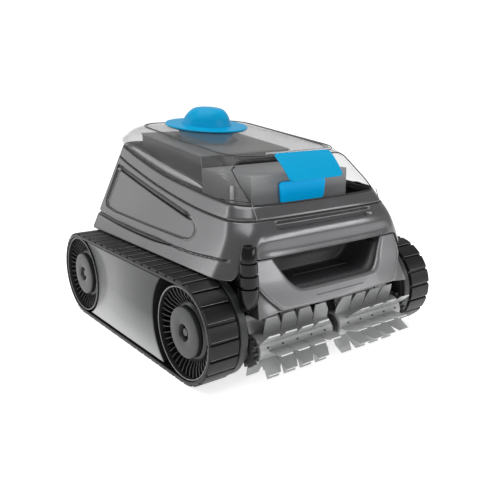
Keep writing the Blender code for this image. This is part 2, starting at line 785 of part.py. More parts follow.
def gear_outline(teeth, phase=0.0):
    """Teeth as trapezoids, slim enough to run free of the mating gear."""
    pitch_r = GEAR_MODULE * teeth / 2
    root_r = pitch_r - 1.25 * GEAR_MODULE
    tip_r = pitch_r + 0.85 * GEAR_MODULE
    step = 2 * math.pi / teeth
    points = []
    for tooth in range(teeth):
        middle = phase + tooth * step
        for share, radius in ((-0.345, root_r), (-0.10, tip_r), (0.10, tip_r), (0.345, root_r)):
            angle = middle + share * step
            points.append((radius * math.cos(angle), radius * math.sin(angle)))
    return points


def gear_plate(name, teeth, bore, phase, side, y, z, mat):
    loops = [[(y + u, z + v) for u, v in gear_outline(teeth, phase)]]
    if bore:
        loops.append([(y + u, z + v) for u, v in arc((0, 0), bore, 0, 337.5, 15)])
    low, high = mirrored(GEAR_X, side)
    return side_plate(name, loops, low, high, mat)


def mesh_phase(teeth, angle, mate_teeth, mate_phase):
    """The phase that puts a gap of this gear on the mate's tooth, along a centre line."""
    step = 2 * math.pi / teeth
    mate_step = 2 * math.pi / mate_teeth
    past_tooth = (angle - mate_phase) / mate_step
    return angle + math.pi + step * (0.5 + past_tooth)


def make_gears(side_name, side, mats):
    """Drive gear on the front wheel, the motor's pinion and the brush's gear."""
    gear_plate("drive_gear_" + side_name, DRIVE_TEETH, AXLE_R + FIT, 0.0, side,
               FRONT_AXLE_Y, AXLE_Z, mats["gear"])
    phase = mesh_phase(PINION_TEETH, PINION_ANGLE, DRIVE_TEETH, 0.0)
    pinion = solid_mesh(gear_plate("motor_pinion_" + side_name, PINION_TEETH, None, phase, side,
                                   PINION_Y, PINION_Z, mats["brass"]))
    low, high = mirrored((0.1150, 0.1370), side)
    stub = cylinder("join_pinion_" + side_name, SHAFT_R, (low, PINION_Y, PINION_Z),
                    (high, PINION_Y, PINION_Z), cutter=True, segments=12)
    boolean(pinion, stub, "UNION")
    angle = math.atan2(BRUSH_Z - AXLE_Z, BRUSH_Y - FRONT_AXLE_Y)
    phase = mesh_phase(BRUSH_TEETH, angle, DRIVE_TEETH, 0.0)
    gear_plate("brush_gear_" + side_name, BRUSH_TEETH, 0.0055, phase, side,
               BRUSH_Y, BRUSH_Z, mats["gear"])
    low, high = mirrored((0.0800, 0.1145), side)
    motor = cylinder("drive_motor_" + side_name, 0.0170, (low, PINION_Y, PINION_Z),
                     (high, PINION_Y, PINION_Z), mats["case"], segments=20)
    smooth(motor)


def make_brush(side_name, side, mats):
    """A core with stub shafts, and a sleeve with ten blades along it."""
    x0, x1 = BRUSH_X
    core_profile = [(0, 0.1500), (SHAFT_R, 0.1500), (SHAFT_R, 0.1411), (0.0050, 0.1411),
                    (0.0050, x1), (0.0145, x1), (0.0145, x0), (SHAFT_R, x0),
                    (SHAFT_R, 0.0015), (0, 0.0015)]
    core = turned("brush_core_" + side_name, core_profile, mats["core"], steps=16, closed=False)
    along_x(core, side, BRUSH_Y, BRUSH_Z)
    smooth(core)
    blades = []
    thickness = 0.0024
    for blade in range(BRUSH_BLADES):
        angle = math.pi + 2 * math.pi * blade / BRUSH_BLADES
        foot = 0.0195
        for reach, turn in ((foot, -1), (BRUSH_R, -0.35), (BRUSH_R, 0.35), (foot, 1)):
            turn_angle = angle + turn * thickness / 2 / reach
            blades.append((BRUSH_Y + reach * math.cos(turn_angle),
                           BRUSH_Z + reach * math.sin(turn_angle)))
    bore = arc((BRUSH_Y, BRUSH_Z), 0.0148, 0, 337.5, 15)
    low, high = mirrored((x0 + 0.001, x1 - 0.001), side)
    side_plate("brush_sleeve_" + side_name, [blades, bore], low, high, mats["bristle"])


def make_brush_bracket(mat):
    """The arm between the two brushes, hung from the tub, with a bore for both cores."""
    outline = [(-0.1503, 0.0880), (-0.1503, 0.0560)]
    outline += arc((BRUSH_Y, BRUSH_Z), 0.0090, -60, -270, 10)
    outline += [(-0.1800, 0.0880)]
    hole = arc((BRUSH_Y, BRUSH_Z), SHAFT_R + FIT, 0, 330, 11)
    side_plate("brush_bracket", [outline, hole], -0.0045, 0.0045, mat)


# ---- inside ----

def make_motor_box(mat):
    motor = box("motor_box", (-0.062, 0.038, TUB_FLOOR + WALL + GAP), (0.062, 0.158, 0.1080), mat,
                bevel=0.008)
    motor.modifiers["edges"].segments = 2
    hole = cylinder("cut_motor_shaft", SHAFT_R + FIT, (0, NOZZLE_Y, 0.0950), (0, NOZZLE_Y, 0.12),
                    cutter=True, axis="Z", segments=12)
    boolean(motor, hole)


def make_pump_duct(mat):
    """The tube around the propeller, on three legs over the motor, with gaps below."""
    profile = [(DUCT_R, DUCT_TOP), (DUCT_R, 0.1086), (0.0430, 0.1086), (0.0430, DUCT_TOP)]
    duct = turned("pump_duct", profile, mat, steps=24)
    duct.location = (0, NOZZLE_Y, 0)
    slot = box("cut_duct_gap", (-0.06, NOZZLE_Y - 0.018, 0.1130), (0.06, NOZZLE_Y + 0.018, 0.1400),
               cutter=True)
    boolean(duct, slot)
    smooth(duct)


def box_top(y):
    return BOX_TOP_Z + BOX_SLOPE * y


def make_canister(mat):
    """The filter box: open on top, with a well for the pump duct and windows for screens."""
    well_r = DUCT_R + 0.0012
    bm = bmesh.new()
    taper = 0.93
    floor = []
    rim = []
    for x, y in ((-1, 0), (1, 0), (1, 1), (-1, 1)):
        floor.append(bm.verts.new((x * BOX_HALF * taper, BOX_Y[y], BOX_FLOOR)))
        rim.append(bm.verts.new((x * BOX_HALF, BOX_Y[y], box_top(BOX_Y[y]))))
    bm.faces.new(list(reversed(floor)))
    for i in range(4):
        j = (i + 1) % 4
        bm.faces.new((floor[i], floor[j], rim[j], rim[i]))
    canister = mesh_from("canister", bm, mat)
    solidify(canister, 0.0020)
    well = cylinder("join_canister_well", well_r + 0.0018, (0, NOZZLE_Y, BOX_FLOOR + 0.0008),
                    (0, NOZZLE_Y, 0.2600), cutter=True, axis="Z", segments=32)
    boolean(canister, well, "UNION")
    bore = cylinder("cut_canister_well", well_r, (0, NOZZLE_Y, 0.10), (0, NOZZLE_Y, 0.30),
                    cutter=True, axis="Z", segments=32)
    boolean(canister, bore)
    inlet = box("cut_canister_inlet", (-0.0430, -0.020, 0.1360), (0.0430, -0.004, 0.1760),
                cutter=True)
    boolean(canister, inlet)
    for _, side in SIDES:
        low, high = mirrored((0.066, 0.120), side)
        boolean(canister, box("cut_canister_window", (low, 0.006, 0.1420),
                              (high, 0.152, 0.2480), cutter=True))


def make_canister_lid(mat):
    """A smoked plate over the canister, with a hole for the nozzle's funnel."""
    y0, y1 = BOX_Y
    bm = bmesh.new()
    corners = [bm.verts.new((x * (BOX_HALF + 0.001), y, box_top(y) + 2 * GAP))
               for x, y in ((-1, y0 - 0.001), (1, y0 - 0.001), (1, y1 + 0.001), (-1, y1 + 0.001))]
    bm.faces.new(corners)
    cover = mesh_from("canister_lid", bm, mat)
    solidify(cover, 0.0022, offset=1.0)
    hole = cylinder("cut_canister_lid", 0.0505, (0, NOZZLE_Y, 0.25), (0, NOZZLE_Y, 0.31),
                    cutter=True, axis="Z", segments=32)
    boolean(cover, hole)


def make_screens(mat):
    """The mesh panels, inside the canister's side windows."""
    lean = math.atan((BOX_HALF * 0.07) / (box_top(0.076) - BOX_FLOOR))
    for name, side in SIDES:
        x = side * (BOX_HALF * 0.965 - 0.0042)
        screen = box("filter_screen_" + name, (x - 0.0007, 0.0035, 0.1390),
                     (x + 0.0007, 0.1545, 0.2510), mat)
        screen.rotation_euler = (0, side * lean, 0)


def make_grip_block(mat):
    """The grey bridge in front of the canister, that stands on the tub's side walls."""
    foot = TUB_TOP + GAP
    front, rear = GRIP_Y
    block = box("canister_grip", (-GRIP_HALF, front, foot), (GRIP_HALF, rear, 0.2500), mat)
    flange = box("join_grip_foot", (-TUB_HALF, front, foot), (TUB_HALF, rear, foot + WALL),
                 cutter=True)
    boolean(block, flange, "UNION")
    hollow = box("cut_grip", (WALL - GRIP_HALF, front + WALL, foot - 0.01),
                 (GRIP_HALF - WALL, rear - WALL, 0.2500 - WALL), cutter=True)
    boolean(block, hollow)
    duct_way = box("cut_grip_duct", (-THROAT_HALF - 0.002, rear - 0.010, foot - 0.01),
                   (THROAT_HALF + 0.002, rear + 0.010, 0.1825), cutter=True)
    boolean(block, duct_way)
    for x in (-PEG_AT[0], PEG_AT[0]):
        post = cylinder("join_grip_post", PEG_R, (x, PEG_AT[1], foot + WALL / 2),
                        (x, PEG_AT[1], PEG_TOP), cutter=True, axis="Z", segments=16)
        boolean(block, post, "UNION")


def make_clip(mat):
    """The small blue clip, hinged along its lower edge."""
    clip = box("canister_clip", (-0.0410, CLIP_Y - 0.0015, CLIP_Z - 0.0015),
               (0.0410, CLIP_Y + 0.0015, 0.2405), mat)
    clip.location = (0, CLIP_Y, CLIP_Z)
    clip.data.transform(Matrix.Translation((0, 0, (0.2405 - CLIP_Z - 0.0015) / 2)))
    add_bevel(clip, 0.0010, 1)


def make_intake(duct_mat, flap_mat):
    """A throat from the mouth in the floor up to the canister's front, and its flap."""
    y0, y1 = THROAT_Y
    outer = [(y0, 0.0200), (y0, 0.1500), (-0.0700, 0.1800), (BOX_Y[0] - 0.0025, 0.1800)]
    inner = [(y1, 0.0200), (y1, 0.1180), (-0.0300, 0.1320), (BOX_Y[0] - 0.0025, 0.1320)]
    bm = bmesh.new()
    rows = []
    for x in (-THROAT_HALF, THROAT_HALF):
        rows.append(([bm.verts.new((x, y, z)) for y, z in outer],
                     [bm.verts.new((x, y, z)) for y, z in inner]))
    for i in range(len(outer) - 1):
        bm.faces.new((rows[0][0][i], rows[0][0][i + 1], rows[1][0][i + 1], rows[1][0][i]))
        bm.faces.new((rows[0][1][i], rows[0][1][i + 1], rows[1][1][i + 1], rows[1][1][i]))
        for walls in rows:
            bm.faces.new((walls[0][i], walls[0][i + 1], walls[1][i + 1], walls[1][i]))
    bmesh.ops.recalc_face_normals(bm, faces=bm.faces)
    bm.faces.ensure_lookup_table()
    if bm.faces[0].normal.y > 0:
        bmesh.ops.reverse_faces(bm, faces=bm.faces)
    duct = mesh_from("intake_duct", bm, duct_mat)
    solidify(duct, 0.0018, offset=-1.0)
    pivot = (0, BOX_Y[0] + 0.0045, FLAP_Z)
    flap = box("inlet_flap", (-0.0435, -0.0010, -0.0430), (0.0435, 0.0010, 0.0), flap_mat)
    flap.data.transform(Matrix.Translation((0, 0, -0.0215)))
    flap.location = pivot


def make_propeller(blade_mat, shaft_mat):
    """Three pitched blades on a hub, joined with Booleans, and the shaft below."""
    hub = cylinder("propeller", 0.0100, (0, 0, -0.009), (0, 0, 0.009), blade_mat, axis="Z",
                   segments=16)
    hub.location = (0, NOZZLE_Y, 0.2480)
    for blade in range(3):
        bm = bmesh.new()
        bmesh.ops.create_cube(bm, size=1)
        bmesh.ops.scale(bm, vec=(0.034, 0.020, 0.0020), verts=bm.verts)
        obj = mesh_from("join_blade", bm, cutter=True)
        turn = Matrix.Rotation(blade * 2 * math.pi / 3, 4, "Z")
        place = Matrix.Translation((0, NOZZLE_Y, 0.2480))
        pitch = Matrix.Rotation(math.radians(28), 4, "X")
        obj.matrix_world = place @ turn @ Matrix.Translation((0.0245, 0, 0)) @ pitch
        boolean(hub, obj, "UNION")
    bore = cylinder("cut_propeller", SHAFT_R + GAP, (0, NOZZLE_Y, 0.20), (0, NOZZLE_Y, 0.2520),
                    cutter=True, axis="Z", segments=12)
    boolean(hub, bore)
    smooth(hub)
    cylinder("pump_shaft", SHAFT_R, (0, NOZZLE_Y, 0.0960), (0, NOZZLE_Y, 0.2515), shaft_mat,
             axis="Z", segments=12)


def make_boot(mat):
    """The cable's boot: a tapered, ribbed grip that stands up from an elbow."""
    profile = [(0.0035, 0.1830), (0.0082, 0.1830), (0.0096, 0.1655), (0.0080, 0.1635),
               (0.0106, 0.1505), (0.0088, 0.1485), (0.0116, 0.1355), (0.0096, 0.1335),
               (0.0120, 0.1300), (0.0120, 0.1180), (0.0080, 0.1070), (0.0035, 0.1050)]
    boot = turned("cable_boot", profile, mat, steps=14)
    boot.location = (BOOT_X, BOOT_Y, 0)
    smooth(boot)


def make_all():
    grey = material("body_grey", (0.10, 0.10, 0.11), 0.32, 0.55)
    light = material("panel_grey", (0.20, 0.19, 0.20), 0.34, 0.45)
    dark = material("tub_grey", (0.05, 0.05, 0.055), 0.5)
    blue = material("blue", (0.0, 0.33, 0.72), 0.3)
    clear = material("smoked_clear", (0.55, 0.55, 0.56), 0.06, alpha=0.4)
    rubber = material("black_rubber", (0.02, 0.02, 0.022), 0.5)
    silver = material("silver_cover", (0.42, 0.42, 0.42), 0.3, 0.7)
    steel = material("steel", (0.6, 0.6, 0.6), 0.25, 1.0)
    white = material("white_nylon", (0.75, 0.75, 0.73), 0.45)
    brass = material("brass", (0.75, 0.55, 0.25), 0.3, 1.0)
    bristle = material("brush_grey", (0.30, 0.30, 0.31), 0.5)
    wheel = material("wheel_black", (0.03, 0.03, 0.032), 0.35)
    cap = material("cap_grey", (0.25, 0.25, 0.26), 0.35)
    mats = {"wheel": wheel, "cap": cap, "bush": white, "steel": steel, "gear": dark,
            "brass": brass, "case": dark, "core": light, "bristle": bristle}
    make_chassis(dark)
    make_hull(grey)
    make_front_panel(light)
    make_handle_pocket(dark)
    make_lid_frame(grey)
    make_lid(clear)
    make_lid_seal(rubber)
    make_hinge_pin(steel)
    make_nozzle(blue)
    make_latch(blue, steel)
    for side_name, side in SIDES:
        make_track(side_name, side, rubber)
        make_side_frame(side_name, side, cap)
        make_side_cover(side_name, side, silver)
        make_wheel("front_" + side_name, side, FRONT_AXLE_Y, mats)
        make_wheel("rear_" + side_name, side, REAR_AXLE_Y, mats)
        make_gears(side_name, side, mats)
        make_brush(side_name, side, mats)
    make_brush_bracket(dark)
    make_motor_box(dark)
    make_pump_duct(dark)
    make_canister(dark)
    make_canister_lid(clear)
    make_screens(white)
    make_grip_block(cap)
    make_clip(blue)
    make_intake(dark, rubber)
    make_propeller(white, steel)
    make_boot(rubber)


clear_scene()
PARTS = new_collection("pool_cleaner")
CUTTERS = new_collection("cutters")
make_all()
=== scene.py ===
# %% [markdown]
# # The looks of a tracked pool cleaner
# The working model arrives as a fixed frame: every solid is where it belongs, and this script moves none of them.
# This script dresses it. Places are read from the frame wherever it can give them, so a detail stays on its piece
# if the model's solids change.

# %% Load the frame
import json
import math

import bmesh
import bpy
from mathutils import Matrix, Vector


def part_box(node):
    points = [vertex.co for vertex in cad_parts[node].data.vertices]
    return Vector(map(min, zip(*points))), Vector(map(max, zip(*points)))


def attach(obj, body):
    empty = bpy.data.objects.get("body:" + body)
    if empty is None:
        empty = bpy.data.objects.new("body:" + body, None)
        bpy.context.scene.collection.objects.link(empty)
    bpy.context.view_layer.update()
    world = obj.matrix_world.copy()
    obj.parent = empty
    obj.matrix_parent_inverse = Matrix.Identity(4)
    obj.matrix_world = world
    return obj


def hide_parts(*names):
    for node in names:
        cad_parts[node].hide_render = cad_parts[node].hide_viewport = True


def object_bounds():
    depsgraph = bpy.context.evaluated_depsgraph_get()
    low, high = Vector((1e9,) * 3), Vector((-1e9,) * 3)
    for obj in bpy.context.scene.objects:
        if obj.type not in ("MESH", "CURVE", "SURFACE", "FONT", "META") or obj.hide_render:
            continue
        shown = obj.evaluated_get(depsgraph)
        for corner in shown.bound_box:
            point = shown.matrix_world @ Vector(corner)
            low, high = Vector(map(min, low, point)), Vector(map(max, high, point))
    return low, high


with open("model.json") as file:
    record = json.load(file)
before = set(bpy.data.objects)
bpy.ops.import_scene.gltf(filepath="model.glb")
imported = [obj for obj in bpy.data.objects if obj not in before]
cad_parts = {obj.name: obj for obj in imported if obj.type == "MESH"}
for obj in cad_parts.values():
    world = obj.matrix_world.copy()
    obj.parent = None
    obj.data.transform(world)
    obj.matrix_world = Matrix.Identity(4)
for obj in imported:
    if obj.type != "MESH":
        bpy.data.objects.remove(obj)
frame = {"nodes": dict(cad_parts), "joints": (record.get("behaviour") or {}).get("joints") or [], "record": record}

cad_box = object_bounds()
joints = {joint["name"]: joint for joint in frame["joints"]}
slot_of = {part["node"]: part["material_slot"] for part in frame["record"]["subparts"]}

# %% [markdown]
# ## Camera, floor and light
# A product picture has a long lens a little above the object. The machine is dark and glossy, so
# what it mirrors matters more than what shines on it: a big panel overhead draws the roof, a wide
# one far behind draws the flank, a tall strip draws the streak just before the front corner, and a
# low one ahead draws the bar. The floor glows a little so that it stays white under the machine.

# %% Camera
camera = bpy.data.objects.new("camera", bpy.data.cameras.new("camera"))
bpy.context.scene.collection.objects.link(camera)
camera.location = (-0.5585, -0.7584, 0.3618)
camera.rotation_euler = (math.radians(75.2494), 0, math.radians(-36.9959))
camera.data.sensor_width = 36
camera.data.lens = 44.461
bpy.context.scene.camera = camera
print("camera", round(camera.location.length, 3), "m from the origin")


# %% Floor and lights
def panel_light(name, place, target, size, power):
    light = bpy.data.lights.new(name, "AREA")
    light.shape = "RECTANGLE"
    light.size, light.size_y = size
    light.energy = power
    lamp = bpy.data.objects.new(name, light)
    lamp.location = place
    aim = Vector(target) - Vector(place)
    lamp.rotation_euler = aim.to_track_quat("-Z", "Y").to_euler()
    bpy.context.scene.collection.objects.link(lamp)


def add_floor(half=6.0):
    bm = bmesh.new()
    corners = [(-half, -half), (half, -half), (half, half), (-half, half)]
    bm.faces.new([bm.verts.new((x, y, 0)) for x, y in corners])
    mesh = bpy.data.meshes.new("floor")
    bm.to_mesh(mesh)
    bm.free()
    floor = bpy.data.objects.new("floor", mesh)
    bpy.context.scene.collection.objects.link(floor)
    return floor


floor = add_floor()
panel_light("overhead", (-0.2, -0.1, 1.6), (0, 0, 0.1), (1.6, 1.6), 20)
panel_light("corner_strip", (-0.82, 0.76, 0.54), (-0.13, -0.14, 0.18), (0.10, 1.0), 1.0)
panel_light("flank_softbox", (-1.15, 1.80, 0.85), (-0.10, 0.05, 0.18), (1.5, 0.9), 3.7)
panel_light("front_softbox", (1.0, -1.6, 0.60), (0, -0.19, 0.17), (1.2, 0.30), 6.0)


def add_studio(around=0.42, behind=1.1):
    """Dim for what the machine mirrors, white for what is seen behind it."""
    world = bpy.data.worlds.new("studio")
    bpy.context.scene.world = world
    world.use_nodes = True
    tree = world.node_tree
    dim = tree.nodes["Background"]
    dim.inputs["Color"].default_value = (1, 1, 1, 1)
    dim.inputs["Strength"].default_value = around
    bright = tree.nodes.new("ShaderNodeBackground")
    bright.inputs["Color"].default_value = (1, 1, 1, 1)
    bright.inputs["Strength"].default_value = behind
    mix = tree.nodes.new("ShaderNodeMixShader")
    path = tree.nodes.new("ShaderNodeLightPath")
    tree.links.new(path.outputs["Is Camera Ray"], mix.inputs[0])
    tree.links.new(dim.outputs[0], mix.inputs[1])
    tree.links.new(bright.outputs[0], mix.inputs[2])
    tree.links.new(mix.outputs[0], tree.nodes["World Output"].inputs[0])


add_studio()
print("floor and", len(bpy.data.lights), "lights")

# %% [markdown]
# ## Shader arithmetic
# A procedural finish is a sum of small patterns. Wiring it node by node hides the sum, so one
# class wraps a socket and lets Python's own operators add the Math nodes.


# %% A socket that can be added and multiplied
class Field:
    def __init__(self, tree, socket):
        self.tree = tree
        self.socket = socket

    def maths(self, operation, first, second=0.0):
        node = self.tree.nodes.new("ShaderNodeMath")
        node.operation = operation
        for slot, value in zip(node.inputs, (first, second)):
            plug(self.tree, slot, value)
        return Field(self.tree, node.outputs[0])

    def __add__(self, other):
        return self.maths("ADD", self, other)

    def __sub__(self, other):
        return self.maths("SUBTRACT", self, other)

    def __rsub__(self, other):
        return self.maths("SUBTRACT", other, self)

    def __mul__(self, other):
        return self.maths("MULTIPLY", self, other)

    __radd__ = __add__
    __rmul__ = __mul__

    def clamped(self):
        low = self.maths("MAXIMUM", self, 0.0)
        return self.maths("MINIMUM", low, 1.0)


def plug(tree, slot, value):
    if isinstance(value, Field):
        tree.links.new(value.socket, slot)
    else:
        slot.default_value = value


# %% A finish: one material and its nodes
class Finish:
    """One Principled material. Constants go straight on its sockets."""

    def __init__(self, name, colour, roughness, **constants):
        self.material = bpy.data.materials.new(name)
        self.material.use_nodes = True
        self.tree = self.material.node_tree
        self.shader = self.tree.nodes["Principled BSDF"]
        self.set("Base Color", (*colour, 1))
        self.set("Roughness", roughness)
        for label, value in constants.items():
            self.set(label.replace("_", " "), value)

    def set(self, label, value):
        plug(self.tree, self.shader.inputs[label], value)

    def add(self, kind, settings=None, inputs=None, out=0):
        """Any node: its settings first, then its sockets, and one output back."""
        node = self.tree.nodes.new(kind)
        for key, value in (settings or {}).items():
            if key == "stops":
                set_stops(node, value)
            else:
                setattr(node, key, value)
        for key, value in (inputs or {}).items():
            plug(self.tree, node.inputs[key], value)
        return Field(self.tree, node.outputs[out])

    def place(self):
        return self.add("ShaderNodeTexCoord", out="Object")

    def noise(self, scale, detail=2.0):
        return self.add("ShaderNodeTexNoise", {}, {"Vector": self.place(), "Scale": scale,
                                                   "Detail": detail})

    def colours(self, factor, first, second):
        return self.add("ShaderNodeMix", {"data_type": "RGBA"},
                        {0: factor, 6: (*first, 1), 7: (*second, 1)}, out=2)

    def bump(self, height, strength, distance=0.001):
        self.set("Normal", self.add("ShaderNodeBump", {}, {"Height": height,
                                    "Strength": strength, "Distance": distance}))


def set_stops(node, stops):
    ramp = node.color_ramp
    while len(ramp.elements) < len(stops):
        ramp.elements.new(1.0)
    for element, (position, colour) in zip(ramp.elements, stops):
        element.position = position
        element.color = (*colour, 1)


# %% [markdown]
# ## Finishes
# Moulded plastic is never one flat colour. Cooling leaves a faint cloudiness, handling leaves a
# change of gloss, and a spark-eroded mould leaves a fine grain. Each finish below is a base
# colour with those three at their own scale.


# %% Moulded plastic
def moulded(name, low, high, gloss, grain=0.06, grain_scale=900, **constants):
    """Cloudy colour between two shades, uneven gloss and a fine grain."""
    finish = Finish(name, low, gloss, **constants)
    cloud = finish.noise(14, 3.0)
    finish.set("Base Color", finish.colours(cloud, low, high))
    finish.set("Roughness", (finish.noise(45) - 0.5) * 0.10 + gloss)
    finish.bump(finish.noise(grain_scale, 1.0), grain, 0.0004)
    return finish


finishes = {
    "body_grey": moulded("metallic_grey", (0.095, 0.093, 0.097), (0.130, 0.127, 0.132), 0.24,
                         0.02, 1400, Metallic=0.70, Coat_Weight=0.45, Coat_Roughness=0.10),
    "panel_grey": moulded("light_metallic_grey", (0.155, 0.152, 0.157), (0.190, 0.187, 0.192),
                          0.31, 0.03, 1400, Metallic=0.55, Coat_Weight=0.20),
    "tub_grey": moulded("dark_tub_plastic", (0.020, 0.020, 0.022), (0.042, 0.042, 0.045), 0.42),
    "blue": moulded("outlet_blue", (0.0, 0.290, 0.540), (0.0, 0.325, 0.590), 0.30, 0.02, 1200,
                    Specular_IOR_Level=0.12),
    "black_rubber": moulded("belt_rubber", (0.003, 0.003, 0.0035), (0.009, 0.009, 0.010), 0.36,
                            0.05, 900, Specular_IOR_Level=0.25),
    "steel": moulded("turned_steel", (0.50, 0.50, 0.51), (0.62, 0.62, 0.63), 0.26, 0.05, 600,
                     Metallic=1.0),
    "white_nylon": moulded("white_nylon", (0.70, 0.70, 0.68), (0.80, 0.80, 0.78), 0.42),
    "brass": moulded("machined_brass", (0.62, 0.44, 0.18), (0.78, 0.58, 0.27), 0.28, 0.05, 600,
                     Metallic=1.0),
    "brush_grey": moulded("brush_blades", (0.31, 0.313, 0.316), (0.42, 0.423, 0.426), 0.32, 0.04,
                          900),
    "wheel_black": moulded("wheel_plastic", (0.010, 0.010, 0.011), (0.028, 0.028, 0.030), 0.30),
    "cap_grey": moulded("hub_grey", (0.026, 0.027, 0.028), (0.040, 0.041, 0.042), 0.34, 0.02,
                        1200, Specular_IOR_Level=0.3),
}
print(len(finishes), "moulded finishes")


# %% [markdown]
# The lid is a smoked clear moulding about two millimetres thick. Real refraction would cost many
# samples for a thin wall that hardly bends light, so the wall is mostly see-through and becomes
# more solid towards its silhouette, as a thin clear wall does.


# %% Smoked clear plastic, and the cover's brushed lacquer with painted shade
def smoked_clear():
    finish = Finish("smoked_clear", (0.055, 0.055, 0.057), 0.04)
    facing = finish.add("ShaderNodeLayerWeight", {}, {"Blend": 0.30}, out="Facing")
    streaks = finish.noise(9, 2.0)
    rim = facing * facing * facing
    rim = rim * rim
    finish.set("Base Color", finish.colours(rim, (0.20, 0.20, 0.20), (0.012, 0.012, 0.012)))
    finish.set("Alpha", (facing * 0.16 + rim * 0.60 + streaks * 0.06 + 0.08).clamped())
    finish.set("Roughness", streaks * 0.04 + 0.02)
    return finish


def lacquer_painted_shade():
    """Painted shade: dark at the top edge and pale towards the ground, as light falls on the cover."""
    low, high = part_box("side_cover_left")
    finish = Finish("lacquer_painted_shade", (0.3, 0.3, 0.3), 0.30, Metallic=0.15, Coat_Weight=0.1)
    split = finish.tree.nodes.new("ShaderNodeSeparateXYZ")
    plug(finish.tree, split.inputs[0], finish.place())
    height = Field(finish.tree, split.outputs["Z"])
    along = Field(finish.tree, split.outputs["Y"])
    rise = (height - low.z) * (1 / (high.z - low.z))
    slant = rise - along * 0.4 + (finish.noise(6) - 0.5) * 0.06
    # Painted shade: the ramp runs from pale near the ground to near black at the top, slanted along the cover.
    shade = finish.add("ShaderNodeValToRGB", {"stops": [
        (0.0, (0.42, 0.425, 0.425)), (0.24, (0.20, 0.204, 0.204)), (0.52, (0.052, 0.054, 0.055)),
        (1.0, (0.008, 0.009, 0.010))]}, {"Fac": slant.clamped()})
    finish.set("Base Color", shade)
    finish.set("Roughness", finish.noise(60) * 0.08 + 0.26)
    return finish


finishes["smoked_clear"] = smoked_clear()
finishes["silver_cover"] = lacquer_painted_shade()
line_black = moulded("seam_shadow", (0.004, 0.004, 0.004), (0.008, 0.008, 0.008), 0.5)
# Pale beads in this finish are painted highlights along edges that catch light.
painted_highlight = moulded("edge_painted_highlight", (0.16, 0.165, 0.165), (0.26, 0.265, 0.265), 0.32)
plain_floor = Finish("studio_floor", (0.86, 0.86, 0.86), 0.6, Emission_Strength=0.72)
# The clip's emission is a painted glow, lighting it brighter than the lamps do.
clip_blue_painted_glow = moulded("clip_blue_painted_glow", (0.0, 0.40, 0.82), (0.0, 0.44, 0.88), 0.34, 0.02, 1200,
                    Emission_Color=(0.0, 0.42, 0.85, 1.0), Emission_Strength=0.30,
                    Specular_IOR_Level=0.12)
canister_dark = moulded("canister_black", (0.006, 0.006, 0.007), (0.014, 0.014, 0.015), 0.30,
                        0.01, 1400)
canister_cover = moulded("canister_cover", (0.155, 0.150, 0.145), (0.215, 0.208, 0.200), 0.30,
                         0.01, 1400)
# Paddle tips are painted paler, standing for light that comes through their thin ends.
paddle_tip_painted_light = moulded("paddle_tip_painted_light", (0.62, 0.625, 0.63), (0.74, 0.745, 0.75), 0.30, 0.02, 900)
boot_black = moulded("boot_rubber", (0.002, 0.002, 0.003), (0.005, 0.005, 0.006), 0.16, 0.02, 900,
                     Specular_IOR_Level=0.30)
bridge_grey = moulded("bridge_plastic", (0.22, 0.222, 0.226), (0.30, 0.302, 0.306), 0.34)
plain_floor.set("Roughness", plain_floor.noise(3) * 0.1 + 0.55)
floor.data.materials.append(plain_floor.material)

for name, node in frame["nodes"].items():
    node.data.materials.clear()
    node.data.materials.append(finishes[slot_of[name]].material)
    node.data.shade_smooth()
    node.data.set_sharp_from_angle(angle=math.radians(32))
for name, finish in (("canister_grip", bridge_grey), ("canister", canister_dark),
                     ("canister_lid", canister_cover), ("filter_screen_left", canister_dark),
                     ("filter_screen_right", canister_dark)):
    frame["nodes"][name].data.materials[0] = finish.material
for name in frame["nodes"]:
    if name.startswith("axle_"):
        frame["nodes"][name].data.materials[0] = finishes["wheel_black"].material
print("every node of the frame has a finish")


# %% [markdown]
# ## Helpers for pieces
# Every detailed piece ends the same way: it becomes an object in the row's own frame, takes its
# finish, rides on its body and may stand for a node of the working model.


# %% Finishing a piece
SIDES = (("left", 1), ("right", -1))


def turns(count):
    """Angles at even steps once round a circle."""
    return [2 * math.pi * k / count for k in range(count)]


def piece(name, bm, finish, body, stands_for=(), angle=34):
    mesh = bpy.data.meshes.new(name)
    bm.to_mesh(mesh)
    bm.free()
    obj = bpy.data.objects.new(name, mesh)
    bpy.context.scene.collection.objects.link(obj)
    mesh.materials.append(finish.material)
    mesh.shade_smooth()
    mesh.set_sharp_from_angle(angle=math.radians(angle))
    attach(obj, body)
    if stands_for:
        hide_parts(*stands_for)
    return obj


def soften(obj, width, segments):
    bevel = obj.modifiers.new("soft_edges", "BEVEL")
    bevel.width = width
    bevel.segments = segments
    bevel.limit_method = "ANGLE"
    bevel.angle_limit = math.radians(30)


def thicken(obj, depth, offset=-1.0):
    wall = obj.modifiers.new("wall", "SOLIDIFY")
    wall.thickness = depth
    wall.offset = offset
    wall.use_even_offset = True


def loft_rows(bm, rows, closed=True, cap_first=False, cap_last=False):
    made = [[bm.verts.new(point) for point in row] for row in rows]
    for low, high in zip(made, made[1:]):
        count = len(low)
        for i in range(count if closed else count - 1):
            j = (i + 1) % count
            bm.faces.new((low[i], low[j], high[j], high[i]))
    if cap_first:
        bm.faces.new(list(reversed(made[0])))
    if cap_last:
        bm.faces.new(made[-1])
    return made


def tube_rows(points, radius, around=8):
    """Rings of a thin tube along a line of points."""
    rows = []
    for i, point in enumerate(points):
        ahead = Vector(points[min(i + 1, len(points) - 1)]) - Vector(points[max(i - 1, 0)])
        turn = ahead.to_track_quat("Z", "Y")
        rows.append([Vector(point) + turn @ Vector((radius * math.cos(a), radius * math.sin(a), 0))
                     for a in turns(around)])
    return rows


def bead(name, points, radius, finish, body):
    bm = bmesh.new()
    loft_rows(bm, tube_rows(points, radius), cap_first=True, cap_last=True)
    bmesh.ops.recalc_face_normals(bm, faces=bm.faces)
    return piece(name, bm, finish, body, angle=60)


